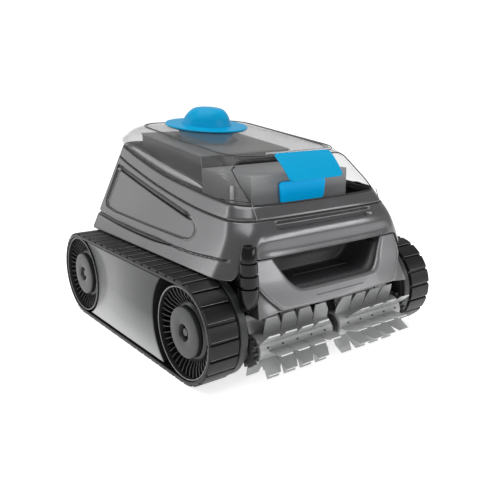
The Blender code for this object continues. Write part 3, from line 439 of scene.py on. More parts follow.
def through(points, value):
    """A smooth curve (Catmull-Rom) through (value, result) pairs."""
    if value <= points[0][0]:
        return points[0][1]
    if value >= points[-1][0]:
        return points[-1][1]
    i = max(k for k in range(len(points) - 1) if points[k][0] <= value)
    (x0, p0), (x1, p1) = points[i], points[i + 1]
    before = points[i - 1] if i else points[i]
    after = points[i + 2] if i + 2 < len(points) else points[i + 1]
    span = x1 - x0
    m0 = (p1 - before[1]) / (x1 - before[0]) * span
    m1 = (after[1] - p0) / (after[0] - x0) * span
    t = (value - x0) / span
    return ((2 * t ** 3 - 3 * t ** 2 + 1) * p0 + (t ** 3 - 2 * t ** 2 + t) * m0
            + (3 * t ** 2 - 2 * t ** 3) * p1 + (t ** 3 - t ** 2) * m1)


def ease(low, high, value):
    t = min(max((value - low) / (high - low), 0.0), 1.0)
    return t * t * (3 - 2 * t)


# %% [markdown]
# ## The body's skin
# The grey shell leans in as it rises, its two long seams climb towards the rear, and its corners
# are rounded. One function that returns a point of the skin for a place round the outline and a
# height gives the shell, the lid frame and the foot of the lid the same surface.

# %% Skin
LEAN = 0.477
HALF_AT = (0.209, 0.131)
SKIRT_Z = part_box("hull")[0].z
REAR_Y = 0.2125
BAR_Z = 0.1592
CORNERS = (0.034, 0.024)
CROWN = 0.004
FRONT_AT = [(0.138, -0.192), (0.1585, -0.1936), (0.185, -0.190), (0.2048, -0.1795),
            (0.2458, -0.159)]
SEAM_AT = [(-0.18, 0.2030), (-0.126, 0.2034), (-0.056, 0.2085), (0.044, 0.2220),
           (0.150, 0.2412), (0.2125, 0.2550)]
GLASS_AT = [(-0.18, 0.2205), (-0.122, 0.2235), (-0.081, 0.2262), (0.032, 0.2375),
            (0.124, 0.2530), (0.2125, 0.2715)]
SEAM_GAP = 0.0006
SHELL_WALL = 0.0028
BAND_WALL = 0.0032
LID_WALL = 0.0022
SEAM_R = 0.0010
LINE_R = 0.0006


def round_the_outline(front=72, corner=16, side=110, rear=40):
    columns = [(2 * i / front - 1, -1, 0, -1) for i in range(front)]
    columns += corner_of(1, -1, -90, corner)
    columns += [(1, 2 * i / side - 1, 1, 0) for i in range(side)]
    columns += corner_of(1, 1, 0, corner)
    columns += [(1 - 2 * i / rear, 1, 0, 1) for i in range(rear)]
    columns += corner_of(-1, 1, 90, corner)
    columns += [(-1, 1 - 2 * i / side, -1, 0) for i in range(side)]
    columns += corner_of(-1, -1, 180, corner)
    return columns


def corner_of(ex, ey, start, count):
    turns = [math.radians(start + 90 * i / count) for i in range(count)]
    return [(ex, ey, math.cos(a), math.sin(a)) for a in turns]


def outline_place(column, half, front, rear, r_front, r_rear, crown):
    ex, ey, nx, ny = column
    radius = r_front if ey < 0 else r_rear
    x = nx * half if abs(nx) == 1 else ex * (half - radius) + nx * radius
    y = front + r_front + (rear - r_rear - front - r_front) * (ey + 1) / 2 + ny * radius
    if ny < 0:
        y += crown * ny * (1 - ex ** 4)
    return x, y


def half_at(z):
    return HALF_AT[1] - LEAN * (z - HALF_AT[0])


def skin(column, height):
    """The skin's point on one column, where the height is a function of y."""
    z = height(0.0)
    for _ in range(10):
        x, y = outline_place(column, half_at(z), through(FRONT_AT, z), REAR_Y, *CORNERS, CROWN)
        z = height(y)
    return Vector((x, y, z))


def seam(y):
    return through(SEAM_AT, y)


def glass_line(y):
    return through(GLASS_AT, y)


columns = round_the_outline()
print(len(columns), "columns round the skin")

# %% [markdown]
# ## Grey shell
# A sunk panel fills each flank, a groove runs below it, and the front bar has a slot-like dish
# along its top. They could be cut with Booleans, but their edges are soft, so each one is a depth
# that pushes a fine grid of the skin inwards.

# %% Depths in the shell
PANEL = [(0.1866, 0.2392), (0.0541, 0.2168), (-0.0600, 0.1991), (-0.0805, 0.1908),
         (-0.0900, 0.1831), (-0.0900, 0.1742), (-0.0826, 0.1681), (-0.0640, 0.1662),
         (0.0309, 0.1672), (0.1391, 0.1693), (0.1735, 0.1728), (0.1860, 0.1830)]
PANEL_TOP = [(-0.0600, 0.1991), (0.0541, 0.2168), (0.1866, 0.2392)]
PANEL_END = PANEL[2:8]
SKIRT_LINE = [(-0.20, 0.1600), (-0.1537, 0.1585), (-0.1007, 0.1550), (-0.0463, 0.1544),
              (0.0352, 0.1541), (0.1045, 0.1561), (0.1851, 0.1610), (0.23, 0.1635)]


def inside_by(outline, u, v):
    """How far a point is inside an outline, in metres; negative when it is outside."""
    nearest = 1.0
    inside = False
    for (u0, v0), (u1, v1) in zip(outline, outline[1:] + outline[:1]):
        du, dv = u1 - u0, v1 - v0
        t = min(max(((u - u0) * du + (v - v0) * dv) / (du * du + dv * dv), 0), 1)
        nearest = min(nearest, math.hypot(u - u0 - t * du, v - v0 - t * dv))
        if (v0 > v) != (v1 > v) and u < du * (v - v0) / dv + u0:
            inside = not inside
    return nearest if inside else -nearest


PANEL_SUNK = 0.0036
RECESS_SUNK = 0.0030
GROOVE_SUNK = 0.0032
DISH_Z = 0.1955
DISH_HALF = 0.080
DISH_SUNK = 0.0068
HOLLOW_Z = 0.1690
HOLLOW_SUNK = 0.0016


def shell_depth(column, point):
    """How far the shell is pushed in: the panel, its recess, the groove, then the bar."""
    nx, ny = column[2:]
    flank = ease(0.85, 1.0, abs(nx))
    inside = inside_by(PANEL, point.y, point.z)
    depth = flank * PANEL_SUNK * ease(0.0, 0.0030, inside)
    under_top = through(PANEL_TOP, point.y) - point.z
    under_edge = ease(0.0, 0.002, inside) * (1 - ease(0.0055, 0.0080, under_top))
    depth += flank * RECESS_SUNK * under_edge
    rib = abs(point.z - through(SKIRT_LINE, point.y))
    wide = 0.0011 + 0.0016 * ease(-0.05, 0.0, point.y)
    groove = 1 - ease(wide * 0.4, wide * 1.5, rib)
    depth += (1 - ease(0.3, 0.6, -ny)) * GROOVE_SUNK * groove
    front = ease(0.9, 1.0, -ny)
    past_end = max(0.0, abs(point.x) - DISH_HALF)
    dish = 1 - ease(0.0015, 0.0068, math.hypot(past_end, point.z - DISH_Z))
    hollow = 1 - ease(0.0, 0.0120, abs(point.z - HOLLOW_Z))
    hollow *= 1 - ease(0.095, 0.125, abs(point.x))
    return depth + front * (DISH_SUNK * dish + HOLLOW_SUNK * hollow)


def inward(column, point, depth):
    slope = Vector((column[2], column[3], LEAN if abs(column[2]) > 0.5 else 0.30)).normalized()
    return point - slope * depth


# %% Build the shell
def shell_foot(column):
    """The lower edge: the skirt all round, raised to the bar across the front."""
    _, ey, _, ny = column
    return SKIRT_Z + (BAR_Z - SKIRT_Z) * ease(0.80, 0.97, -ny if ey < 0 else 0)


def add_shell(rows=84):
    grid = []
    for row in range(rows + 1):
        share = row / rows
        ring = []
        for column in columns:
            foot = shell_foot(column)
            point = skin(column, lambda y: foot + (seam(y) - SEAM_GAP - foot) * share)
            edge = min(share, 1 - share) * rows
            ring.append(inward(column, point, shell_depth(column, point)
                               + 0.0007 * max(0.0, 1 - edge)))
        grid.append(ring)
    bm = bmesh.new()
    loft_rows(bm, grid)
    shell = piece("shell", bm, finishes["body_grey"], "base", ["hull"], 50)
    thicken(shell, SHELL_WALL)
    return shell


shell = add_shell()
print("shell:", len(shell.data.vertices), "points")

# %% [markdown]
# The frame under the glass is a plain band, but its seams show as dark lines because light does
# not reach into the gap. The band keeps a real gap, and a thin black bead lies in it.


# %% Lid frame and seams
def add_lid_frame(rows=8):
    grid = []
    for row in range(rows + 1):
        share = row / rows
        ring = []
        for column in columns:
            point = skin(column, lambda y: seam(y) + SEAM_GAP + share
                         * (glass_line(y) - seam(y) - 2 * SEAM_GAP))
            edge = min(row, rows - row)
            ring.append(inward(column, point, 0.0009 if edge == 0 else 0.0))
        grid.append(ring)
    bm = bmesh.new()
    loft_rows(bm, grid)
    band = piece("lid_band", bm, finishes["body_grey"], "lid", ["lid_frame"], 50)
    thicken(band, BAND_WALL)


def seam_bead(name, height, sunk, radius, body):
    path = [inward(column, skin(column, height), sunk) for column in columns[::2]]
    return bead(name, path + path[:1], radius, line_black, body)


add_lid_frame()
seam_bead("body_seam", lambda y: seam(y) - 0.0002, 0.0011, SEAM_R, "base")
seam_bead("glass_seam", lambda y: glass_line(y) - 0.0002, 0.0011, SEAM_R, "lid")
for side_name, side in SIDES:
    rim = [inward((0, 0, side, 0), Vector((side * half_at(z), y, z)), 0.0006)
           for y, z in PANEL + PANEL[:1]]
    smooth_rim = []
    for a, b in zip(rim, rim[1:]):
        smooth_rim += [a.lerp(b, k / 6) for k in range(6)]
    bead("panel_line_" + side_name, smooth_rim + smooth_rim[:1], 0.0008, line_black, "base")


# %% [markdown]
# The flank's recesses are a few millimetres deep and in shade, so they read as dark strips. Light alone leaves
# them grey here, so a thin dark strip of painted shade lies in each. A pale strip at the foot of the clear lid is
# a painted reflection, and a pale line round the panel's front end is a painted highlight.

# %% Painted shade and highlights on the flanks
STRIP_STEPS = 40


def strip_stations(start, length):
    """Even places along the machine, for a strip on its flank."""
    return [start + length * k / STRIP_STEPS for k in range(STRIP_STEPS + 1)]


def ribbon(name, side, upper, lower, sunk, finish, body):
    """A thin strip on the flank between two lists of (y, z)."""
    bm = bmesh.new()
    rows = [[Vector((side * (half_at(z) - sunk), y, z)) for y, z in edge]
            for edge in (upper, lower)]
    loft_rows(bm, rows, closed=False)
    bmesh.ops.recalc_face_normals(bm, faces=bm.faces)
    strip = piece(name, bm, finish, body, angle=60)
    thicken(strip, 0.0004, 0.0)


# A pale strip in this finish at the lid's foot is a painted reflection.
painted_reflection = moulded("lid_foot_painted_reflection", (0.42, 0.42, 0.42), (0.52, 0.52, 0.52), 0.25)
recess_dark = moulded("recess_shadow", (0.018, 0.018, 0.019), (0.030, 0.030, 0.031), 0.42)
for side_name, side in SIDES:
    ys = strip_stations(-0.052, 0.233)
    ribbon("panel_recess_" + side_name, side, [(y, through(PANEL_TOP, y) - 0.0006) for y in ys],
           [(y, through(PANEL_TOP, y) - 0.0068) for y in ys], 0.0042, recess_dark, "base")
    ys = strip_stations(-0.045, 0.236)
    wide = [0.0005 + 0.0017 * ease(-0.05, 0.0, y) for y in ys]
    ribbon("skirt_recess_" + side_name, side,
           [(y, through(SKIRT_LINE, y) + w) for y, w in zip(ys, wide)],
           [(y, through(SKIRT_LINE, y) - w) for y, w in zip(ys, wide)], 0.0016, recess_dark,
           "base")
    # The pale bead round the panel's front end is a painted highlight.
    rounded = [(through(list(enumerate([p[0] for p in PANEL_END])), k / 5) - 0.0030,
                through(list(enumerate([p[1] for p in PANEL_END])), k / 5) - 0.0005)
               for k in range(2, 24)]
    bead("panel_end_" + side_name, [(side * (half_at(z) - 0.0002), y, z) for y, z in rounded],
         0.0011, painted_highlight, "base")


BAY_EDGE = [(0.1099, 0.2033), (0.1106, 0.2310), (0.1045, 0.2592)]


def bay_edge(name, side, low, high, finish):
    """A line up the front of the band, at the side of the lid's opening."""
    path = []
    for k in range(17):
        z = low + (high - low) * k / 16
        x = side * through([(z1, x1) for x1, z1 in BAY_EDGE], z)
        path.append(Vector((x, through(FRONT_AT, z) - 0.0002, z)))
    bead(name, path, LINE_R, finish, "lid")


# The pale lines at the sides of the lid's opening are painted highlights.
for side_name, side in SIDES:
    bay_edge("bay_edge_" + side_name, side, 0.2045, 0.2225, painted_highlight)
print("band and seam lines")

# %% [markdown]
# ## Clear lid
# The lid is one thin moulding: it rises from the frame, turns over a soft shoulder and runs flat
# to the round hole for the outlet. The last rings of the loft blend from the rounded outline to
# that circle, so the hole needs no Boolean and the shoulder keeps its even flow of faces.

# %% Build the lid
ROOF_Z = 0.2888
ROOF_SLOPE = 0.114
LID_RINGS = [(0.1115, -0.1590, 0.2085, 0.036, 0.006, 0.2410, 0.2810),
             (0.1080, -0.1430, 0.1975, 0.038, 0.008, 0.2560, 0.2895),
             (0.1050, -0.1290, 0.1800, 0.040, 0.011, 0.2660, 0.2985),
             (0.1000, -0.1140, 0.1520, 0.040, 0.014, 0.2738, 0.3048)]
outlet_at = Vector((0, 0.098, 0))
HOLE_R = 0.0470


def roof(y):
    return ROOF_Z + ROOF_SLOPE * y


def lid_ring(half, front, rear, radius, crown, z_front, z_rear):
    ring = []
    for column in columns[::2]:
        x, y = outline_place(column, half, front, rear, radius, radius, crown)
        z = z_front + (z_rear - z_front) * (y - front) / (rear - front)
        ring.append(Vector((x, y, z)))
    return ring


def blended(rings, steps):
    """More rings between the given ones, on smooth curves through them."""
    keys = [list(enumerate([ring[i][axis] for ring in rings]))
            for i in range(len(rings[0])) for axis in range(3)]
    grid = []
    for step in range(steps + 1):
        at = (len(rings) - 1) * step / steps
        values = [through(key, at) for key in keys]
        grid.append([Vector(values[3 * i:3 * i + 3]) for i in range(len(rings[0]))])
    return grid


CUT_OUT = [(0.1085, 0.2000), (0.1078, 0.2400), (0.1045, 0.2592), (0.0960, 0.2672),
           (0.0866, 0.2703), (0.0400, 0.2718)]


def open_the_front(bm):
    """Cut the hand opening: slice the sheet along its outline, then drop what is inside."""
    for (x0, z0), (x1, z1) in zip(CUT_OUT, CUT_OUT[1:]):
        for side in (1, -1):
            near = [f for f in bm.faces if f.calc_center_median().y < -0.115]
            geom = list({e for f in near for e in f.edges}) + near
            geom += list({v for f in near for v in f.verts})
            across = Vector((-(z1 - z0) * side, 0, x1 - x0))
            bmesh.ops.bisect_plane(bm, geom=geom, plane_co=(side * x0, 0, z0),
                                   plane_no=across, dist=1e-7)
    drop = [f for f in bm.faces if in_cut_out(f.calc_center_median())]
    bmesh.ops.delete(bm, geom=drop, context="FACES")


def in_cut_out(point):
    if point.y > -0.115 or point.z > CUT_OUT[-1][1]:
        return False
    upward = [(z, x) for x, z in CUT_OUT]
    for (z0, x0), (z1, x1) in zip(upward, upward[1:]):
        if z0 <= point.z <= z1:
            return abs(point.x) < x0 + (x1 - x0) * (point.z - z0) / (z1 - z0)
    return False


def add_lid():
    foot = [skin(column, lambda y: glass_line(y) + SEAM_GAP) for column in columns[::2]]
    shoulder = [foot] + [lid_ring(*ring) for ring in LID_RINGS]
    grid = blended(shoulder, 20)
    rim = grid[-1]
    for step in range(1, 9):
        share = step / 8
        ring = []
        for point in rim:
            away = Vector((point.x, point.y - outlet_at.y, 0)).normalized() * HOLE_R
            flat = Vector((point.x, point.y, 0)).lerp(outlet_at + away, share)
            z = point.z + (roof(flat.y) - point.z) * ease(0, 0.45, share)
            ring.append(Vector((flat.x, flat.y, z)))
        grid.append(ring)
    bm = bmesh.new()
    loft_rows(bm, grid)
    open_the_front(bm)
    arch = sorted({v for e in bm.edges if e.is_boundary for v in e.verts
                   if v.co.y < -0.115 and v.co.z > 0.2235},
                  key=lambda v: math.atan2(v.co.z - 0.215, v.co.x))
    bead("cut_out_edge", [v.co.copy() for v in arch], 0.0008, line_black, "lid")
    lid = piece("clear_lid", bm, finishes["smoked_clear"], "lid", ["lid"], 60)
    thicken(lid, LID_WALL)
    return grid


lid_grid = add_lid()
# The middle, pale line on the lid's shoulder is a painted highlight.
for name, inwards, lift, finish in (("outer", 0.0, 0.0002, line_black),
                                    ("middle", 0.28, 0.0, painted_highlight),
                                    ("inner", 0.55, 0.0, line_black)):
    line = [a.lerp(b, inwards) + Vector((0, 0, lift))
            for a, b in zip(lid_grid[20], lid_grid[21])]
    bead("lid_shoulder_" + name, line + line[:1], LINE_R, finish, "lid")
for side_name, side in SIDES:
    ys = strip_stations(-0.066, 0.237)
    taper = [0.0004 + 0.0080 * math.sqrt(math.sin(math.pi * (k + 0.5) / len(ys)))
             for k in range(len(ys))]
    # Painted reflection: a pale strip along the foot of the clear lid.
    ribbon("lid_foot_painted_reflection_" + side_name, side,
           [(y, glass_line(y) + 0.0024 + t) for y, t in zip(ys, taper)],
           [(y, glass_line(y) + 0.0024) for y in ys], 0.0045, painted_reflection, "lid")
    bead("lid_foot_line_" + side_name,
         [(side * (half_at(glass_line(y)) - 0.0090), y, glass_line(y) + 0.0040 + t)
          for y, t in zip(ys, taper)], 0.0006, line_black, "lid")
print("lid rings:", len(lid_grid))

# %% [markdown]
# ## Outlet
# The outlet is a round flange with a hood over it, like a cupped hand that opens to the rear. A
# lathe would make it even all round, so the hood is a polar grid: its height follows a flattened
# arch, and it leans back on the side where the water leaves.


# %% Hood and flange
def tilted(x, y, z):
    """From the outlet's own axes, which follow the roof's slope, to the row's frame."""
    turn = Matrix.Rotation(math.atan(ROOF_SLOPE), 3, "X")
    return turn @ Vector((x, y, z)) + Vector((0, outlet_at.y, roof(outlet_at.y)))


HOOD = [(0.0, (0.0, 0.0405)), (0.2, (0.22, 0.0378)), (0.45, (0.50, 0.0340)),
        (0.7, (0.78, 0.0275)), (0.86, (0.93, 0.0195)), (1.0, (1.0, 0.0))]


def hood_at(share):
    """Height, from 0 to 1, and radius of the hood along its profile."""
    rise = through([(at, spot[0]) for at, spot in HOOD], share)
    return min(rise, 1.0), max(through([(at, spot[1]) for at, spot in HOOD], share), 0.0)


def mouth_depth(a, rise):
    """The dent at the rear where the water leaves."""
    aside = abs((a - math.pi / 2 + math.pi) % (2 * math.pi) - math.pi)
    wide = 1 - ease(0.50, 0.66, aside)
    high = ease(0.10, 0.22, rise) * (1 - ease(0.60, 0.72, rise))
    return 0.016 * wide * high


def add_outlet(around=96, up=26):
    top = cad_box[1][2] - tilted(0, 0, 0).z - 0.0006
    rows = []
    for r, z in ((0.0380, -0.0265), (0.0470, -0.0010), (0.0660, 0.0008), (0.0670, 0.0018),
                 (0.0660, 0.0034), (0.0450, 0.0040)):
        rows.append([tilted(r * math.cos(a), r * math.sin(a), z) for a in turns(around)])
    for i in range(up + 1):
        share = i / up
        ring = []
        for a in turns(around):
            rise, reach = hood_at(share)
            mouth = mouth_depth(a, rise)
            centre = -0.0050 * rise ** 1.4
            ring.append(tilted((reach - mouth) * math.cos(a),
                               (reach - mouth) * math.sin(a) + centre,
                               0.0040 + (top - 0.0040) * rise))
        rows.append(ring)
    bm = bmesh.new()
    loft_rows(bm, rows[:-1], cap_last=True)
    piece("outlet_hood", bm, finishes["blue"], "lid", ["nozzle"], 40)


def ring_line(name, radius, height, thickness, finish, body, steps=72):
    path = [tilted(radius * math.cos(a), radius * math.sin(a), height)
            for a in [2 * math.pi * k / steps for k in range(steps + 1)]]
    return bead(name, path, thickness, finish, body)


add_outlet()
ring_line("outlet_flange_shadow", 0.0640, 0.0004, 0.0009, line_black, "lid")
print("outlet reaches", round(cad_box[1][2], 4))

# %% [markdown]
# ## Blue flap and clip
# Both are thin mouldings with rolled edges. A sheet that follows the lid's front slope, given a
# wall and a round bevel, catches the light along its edge as a real flap does. No mark is put on
# it: only a plain moulded border.


# %% Rounded sheets
def sheet_on(name, path, half, radius, depth, finish, body, stands_for, taper=1.0):
    """A rounded sheet laid along a (y, z) path that runs from its lower to its upper edge."""
    lengths = [0.0]
    for a, b in zip(path, path[1:]):
        lengths.append(lengths[-1] + math.hypot(b[0] - a[0], b[1] - a[1]))
    ys = list(zip(lengths, [p[0] for p in path]))
    zs = list(zip(lengths, [p[1] for p in path]))
    across, along = 28, 22
    total = lengths[-1]
    rows = []
    for j in range(along + 1):
        s = total * j / along
        edge = min(s, total - s)
        pull = radius - math.sqrt(max(0.0, radius ** 2 - (radius - min(edge, radius)) ** 2))
        width = (half - pull) * (taper + (1 - taper) * j / along)
        rows.append([Vector((width * (2 * i / across - 1), through(ys, s), through(zs, s)))
                     for i in range(across + 1)])
    bm = bmesh.new()
    loft_rows(bm, rows, closed=False)
    bmesh.ops.recalc_face_normals(bm, faces=bm.faces)
    bm.faces.ensure_lookup_table()
    if sum(face.normal.y for face in bm.faces) > 0:
        bmesh.ops.reverse_faces(bm, faces=bm.faces)
    obj = piece(name, bm, finish, body, stands_for, 50)
    thicken(obj, depth)
    soften(obj, min(0.0008, depth * 0.4), 3)
    return obj


flap_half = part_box("lid_latch")[1].x
flap_path = [(-0.1688, 0.2455), (-0.1590, 0.2577), (-0.1460, 0.2705), (-0.1352, 0.2787)]
sheet_on("blue_flap", flap_path, flap_half, 0.006, 0.0018, finishes["blue"], "latch",
         ["lid_latch"], 0.95)
clip_low, clip_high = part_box("canister_clip")
clip_face = clip_low.y
clip_path = [(clip_face + 0.0010, clip_low.z + 0.0005), (clip_face + 0.0002, clip_low.z + 0.010),
             (clip_face + 0.0002, clip_high.z - 0.006), (clip_face + 0.0010, clip_high.z)]
sheet_on("blue_clip", clip_path, clip_high.x + 0.0010, 0.006, 0.0024, clip_blue_painted_glow, "clip",
         ["canister_clip"], 0.92)
print("flap and clip")

# %% [markdown]
# ## Belts
# A belt is a flat band with a broad low bar across every pitch. Its profile goes once round two circles and two
# straights, so a function of distance along that loop places both the band and the bars. Each bar stops just short
# of the belt's edges. A pale line along the belt's edge and a pale line on each bar's edge are painted highlights.

# %% The loop
front_axle = Vector(joints["front_wheel_left_spin"]["pos_m"])
rear_axle = Vector(joints["rear_wheel_left_spin"]["pos_m"])
base_length = rear_axle.y - front_axle.y
belt_low, belt_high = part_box("track_left")
LUG_R = front_axle.z
LUG_H = 0.0029
BELT_R = LUG_R - LUG_H
BELT_T = 0.0035
LUGS = 48
loop_length = 2 * (base_length + math.pi * BELT_R)


def on_loop(distance, radius):
    """Point (y, z) at a distance along the belt and at a radius from the axles."""
    bend = math.pi * BELT_R
    distance %= loop_length
    if distance < base_length:
        return front_axle.y + distance, front_axle.z - radius
    distance -= base_length
    if distance < bend:
        a = distance / BELT_R - math.pi / 2
        return rear_axle.y + radius * math.cos(a), rear_axle.z + radius * math.sin(a)
    distance -= bend
    if distance < base_length:
        return rear_axle.y - distance, rear_axle.z + radius
    a = (distance - base_length) / BELT_R + math.pi / 2
    return front_axle.y + radius * math.cos(a), front_axle.z + radius * math.sin(a)


# %% Build the belts
def bar_rise(share):
    """Height of the tread along one pitch, from 0 in the groove to 1 on a bar."""
    return ease(0.04, 0.11, share) * (1 - ease(0.89, 0.96, share))


def add_belt(side_name, side, per_pitch=20):
    x_in, x_out = belt_low.x, belt_high.x
    stations = [0.0, 0.0004, 0.0006, 0.0014, x_out - x_in - 0.0014, x_out - x_in - 0.0006,
                x_out - x_in - 0.0004, x_out - x_in]
    height = [-0.5, 0.0, 0.0, 1.0, 1.0, 0.0, 0.0, -0.5]
    rows = []
    for k in range(LUGS * per_pitch):
        at = loop_length * k / (LUGS * per_pitch)
        rise = bar_rise((k % per_pitch) / per_pitch)
        ring = []
        for across, part in zip(stations, height):
            radius = BELT_R + (LUG_H * part * rise if part > 0 else LUG_H * part * 0.3)
            y, z = on_loop(at, radius)
            ring.append((side * (x_in + across), y, z))
        for across in (x_out - x_in, 0.0):
            y, z = on_loop(at, BELT_R - BELT_T)
            ring.append((side * (x_in + across), y, z))
        rows.append(ring)
    bm = bmesh.new()
    loft_rows(bm, rows + rows[:1])
    bmesh.ops.remove_doubles(bm, verts=bm.verts, dist=0.00002)
    bmesh.ops.recalc_face_normals(bm, faces=bm.faces)
    name = "belt_" + side_name
    piece(name, bm, finishes["black_rubber"], "base", ["track_" + side_name], 28)
    # Painted highlight: a pale bead along the belt's outer edge.
    edge = []
    for k in range(181):
        y, z = on_loop(loop_length * k / 180, BELT_R - BELT_T * 0.45)
        edge.append((side * (x_out - 0.0008), y, z))
    bead("belt_edge_" + side_name, edge, LINE_R, painted_highlight, "base")
    # Painted highlights: a thin pale bar on the edge of every lug.
    lug_glints = bmesh.new()
    for lug in range(LUGS):
        y, z = on_loop(loop_length * (lug + 0.90) / LUGS, LUG_R - 0.0003)
        line = [(side * x, y, z) for x in (x_in + 0.0030, x_out - 0.0016)]
        loft_rows(lug_glints, tube_rows(line, 0.0003, 6), cap_first=True, cap_last=True)
    bmesh.ops.recalc_face_normals(lug_glints, faces=lug_glints.faces)
    piece("lug_edge_highlights_" + side_name, lug_glints, painted_highlight, "base", angle=60)


for side_name, side in SIDES:
    add_belt(side_name, side)
print("belts", round(loop_length, 3), "m round with", LUGS, "bars")

# %% [markdown]
# ## Wheels
# Each wheel is a rim, a dark cone and a ring of thin fins that braces them, with a grey cap over
# the hub. Turned shapes are drawn as a half profile and spun; the fins are copied round the axle.


# %% Turning about an axle
def spun(bm, profile, side, axle, steps=64):
    """Rows of a profile of (radius, distance from the machine's middle) about an axle."""
    rows = []
    for radius, out in profile:
        rows.append([(side * out, axle.y + radius * math.cos(a), axle.z + radius * math.sin(a))
                     for a in turns(steps)])
    return loft_rows(bm, rows + rows[:1])


def add_fins(bm, side, axle, count=40):
    for k in range(count):
        turn = Matrix.Rotation(2 * math.pi * k / count, 3, "X")
        corners = []
        for thick in (-0.0005, 0.0005):
            for radius, out in ((0.0400, 0.1680), (0.0575, 0.1700), (0.0575, 0.1945),
                                (0.0480, 0.1925), (0.0385, 0.1870)):
                spot = turn @ Vector((0, radius, thick))
                corners.append(bm.verts.new((side * out, axle.y + spot.y, axle.z + spot.z)))
        low, high = corners[:5], corners[5:]
        bm.faces.new(list(reversed(low)))
        bm.faces.new(high)
        for i in range(5):
            j = (i + 1) % 5
            bm.faces.new((low[i], low[j], high[j], high[i]))


def add_wheel(place, side, axle):
    body = place.replace("front_", "front_wheel_").replace("rear_", "rear_wheel_")
    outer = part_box("wheel_" + place)[1].z - axle.z
    bm = bmesh.new()
    spun(bm, [(0.0583, 0.1978), (0.0590, 0.1985), (outer - 0.0006, 0.1985), (outer, 0.1978),
              (outer, 0.1596), (outer - 0.0006, 0.1590), (0.0580, 0.1590), (0.0565, 0.1700),
              (0.0120, 0.1650), (0.0120, 0.1412), (0.0083, 0.1412), (0.0083, 0.1880),
              (0.0345, 0.1885), (0.0350, 0.1895), (0.0390, 0.1870), (0.0440, 0.1790),
              (0.0470, 0.1735), (0.0572, 0.1740)], side, axle)
    add_fins(bm, side, axle)
    bmesh.ops.recalc_face_normals(bm, faces=bm.faces)
    piece("wheel_rim_" + place, bm, finishes["wheel_black"], body,
          ["wheel_" + place])
    cap = bmesh.new()
    spun(cap, [(0.0335, 0.1902), (0.0335, 0.1945), (0.0325, 0.1958), (0.0290, 0.1965),
               (0.0160, 0.1970), (0.0115, 0.1962), (0.0102, 0.1940), (0.0100, 0.1902)],
         side, axle)
    bmesh.ops.recalc_face_normals(cap, faces=cap.faces)
    piece("hub_disc_" + place, cap, finishes["cap_grey"], body, ["hub_cap_" + place])
    # A pale line round the rim's outer edge is a painted highlight.
    rim_line = [(side * 0.1983, axle.y + 0.0590 * math.cos(a), axle.z + 0.0590 * math.sin(a))
                for a in [2 * math.pi * k / 72 for k in range(73)]]
    bead("rim_line_" + place, rim_line, LINE_R, painted_highlight, body)


for side_name, side in SIDES:
    add_wheel("front_" + side_name, side, front_axle)
    add_wheel("rear_" + side_name, side, rear_axle)
print("four wheels")

# %% [markdown]
# ## Side covers
# The cover is a shallow box between the wheels whose ends are hollowed to let the wheels turn. Its lacquered face
# and its walls are separate pieces. The walls are black as painted shade in the hollows, and the face's lacquer
# carries painted shade, darker towards its top edge.

# %% Cover outline
ARC_FRONT = 0.079
ARC_REAR = 0.0635
COVER_HALF = BELT_R - BELT_T - 0.0020


def arc(centre, radius, start, stop, count):
    return [(centre[0] + radius * math.cos(math.radians(start + (stop - start) * i / count)),
             centre[1] + radius * math.sin(math.radians(start + (stop - start) * i / count)))
            for i in range(count + 1)]


def cover_outline(inset=0.0):
    half = COVER_HALF - inset
    front_r, rear_r = ARC_FRONT + inset, ARC_REAR + inset
    front = math.degrees(math.asin(half / front_r))
    rear = math.degrees(math.asin(half / rear_r))
    return (arc((front_axle.y, front_axle.z), front_r, front, -front, 48)
            + arc((rear_axle.y, rear_axle.z), rear_r, 180 + rear, 180 - rear, 48))


def add_cover(side_name, side):
    low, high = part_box("side_cover_left")
    face = bmesh.new()
    loft_rows(face, [[(side * x, y, z) for y, z in cover_outline(inset)]
                     for x, inset in ((high.x - 0.0016, 0.0), (high.x - 0.0005, 0.0003),
                                      (high.x, 0.0011))], cap_last=True)
    bmesh.ops.recalc_face_normals(face, faces=face.faces)
    piece("cover_face_" + side_name, face, finishes["silver_cover"], "base",
          ["side_cover_" + side_name], 50)
    # Painted shade: the walls take the wheels' black for the shade in the hollows round the wheels.
    walls = bmesh.new()
    loft_rows(walls, [[(side * x, y, z) for y, z in cover_outline(0.0004)]
                      for x in (low.x, high.x - 0.0018)], cap_first=True)
    bmesh.ops.recalc_face_normals(walls, faces=walls.faces)
    piece("cover_walls_painted_shade_" + side_name, walls, finishes["wheel_black"], "base")


for side_name, side in SIDES:
    add_cover(side_name, side)
print("side covers")

# %% [markdown]
# ## Front panel and hand tray
# The panel hangs under the bar like a shield with a tray-shaped notch. Rows of points run from
# the notch's rolled lip out to the shield's edge, so the lip, the face and the edge are one
# sheet. The tray behind is lofted from the same notch to a smaller back.

# %% Panel
FASCIA_AT = [(0.0973, -0.2215), (0.1307, -0.2045), (0.1589, -0.1945)]
panel_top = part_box("front_panel")[1].z
NOTCH = [(-0.0985, panel_top), (-0.0900, 0.1450), (-0.0780, 0.1275), (-0.0660, 0.1185),
         (-0.0500, 0.1170), (0.0, 0.1170)]
SHIELD = [(-0.1262, panel_top), (-0.1298, 0.1420), (-0.1300, 0.1307), (-0.1170, 0.1130),
          (-0.1020, 0.0985), (0.0, 0.0975)]


def along_notch(keys, share):
    """A point of a half outline given from its top to the middle, then mirrored."""
    at = (len(keys) - 1) * (1 - abs(1 - 2 * share))
    x = through(list(enumerate([k[0] for k in keys])), at)
    z = through(list(enumerate([k[1] for k in keys])), at)
    return (x if share <= 0.5 else -x), z


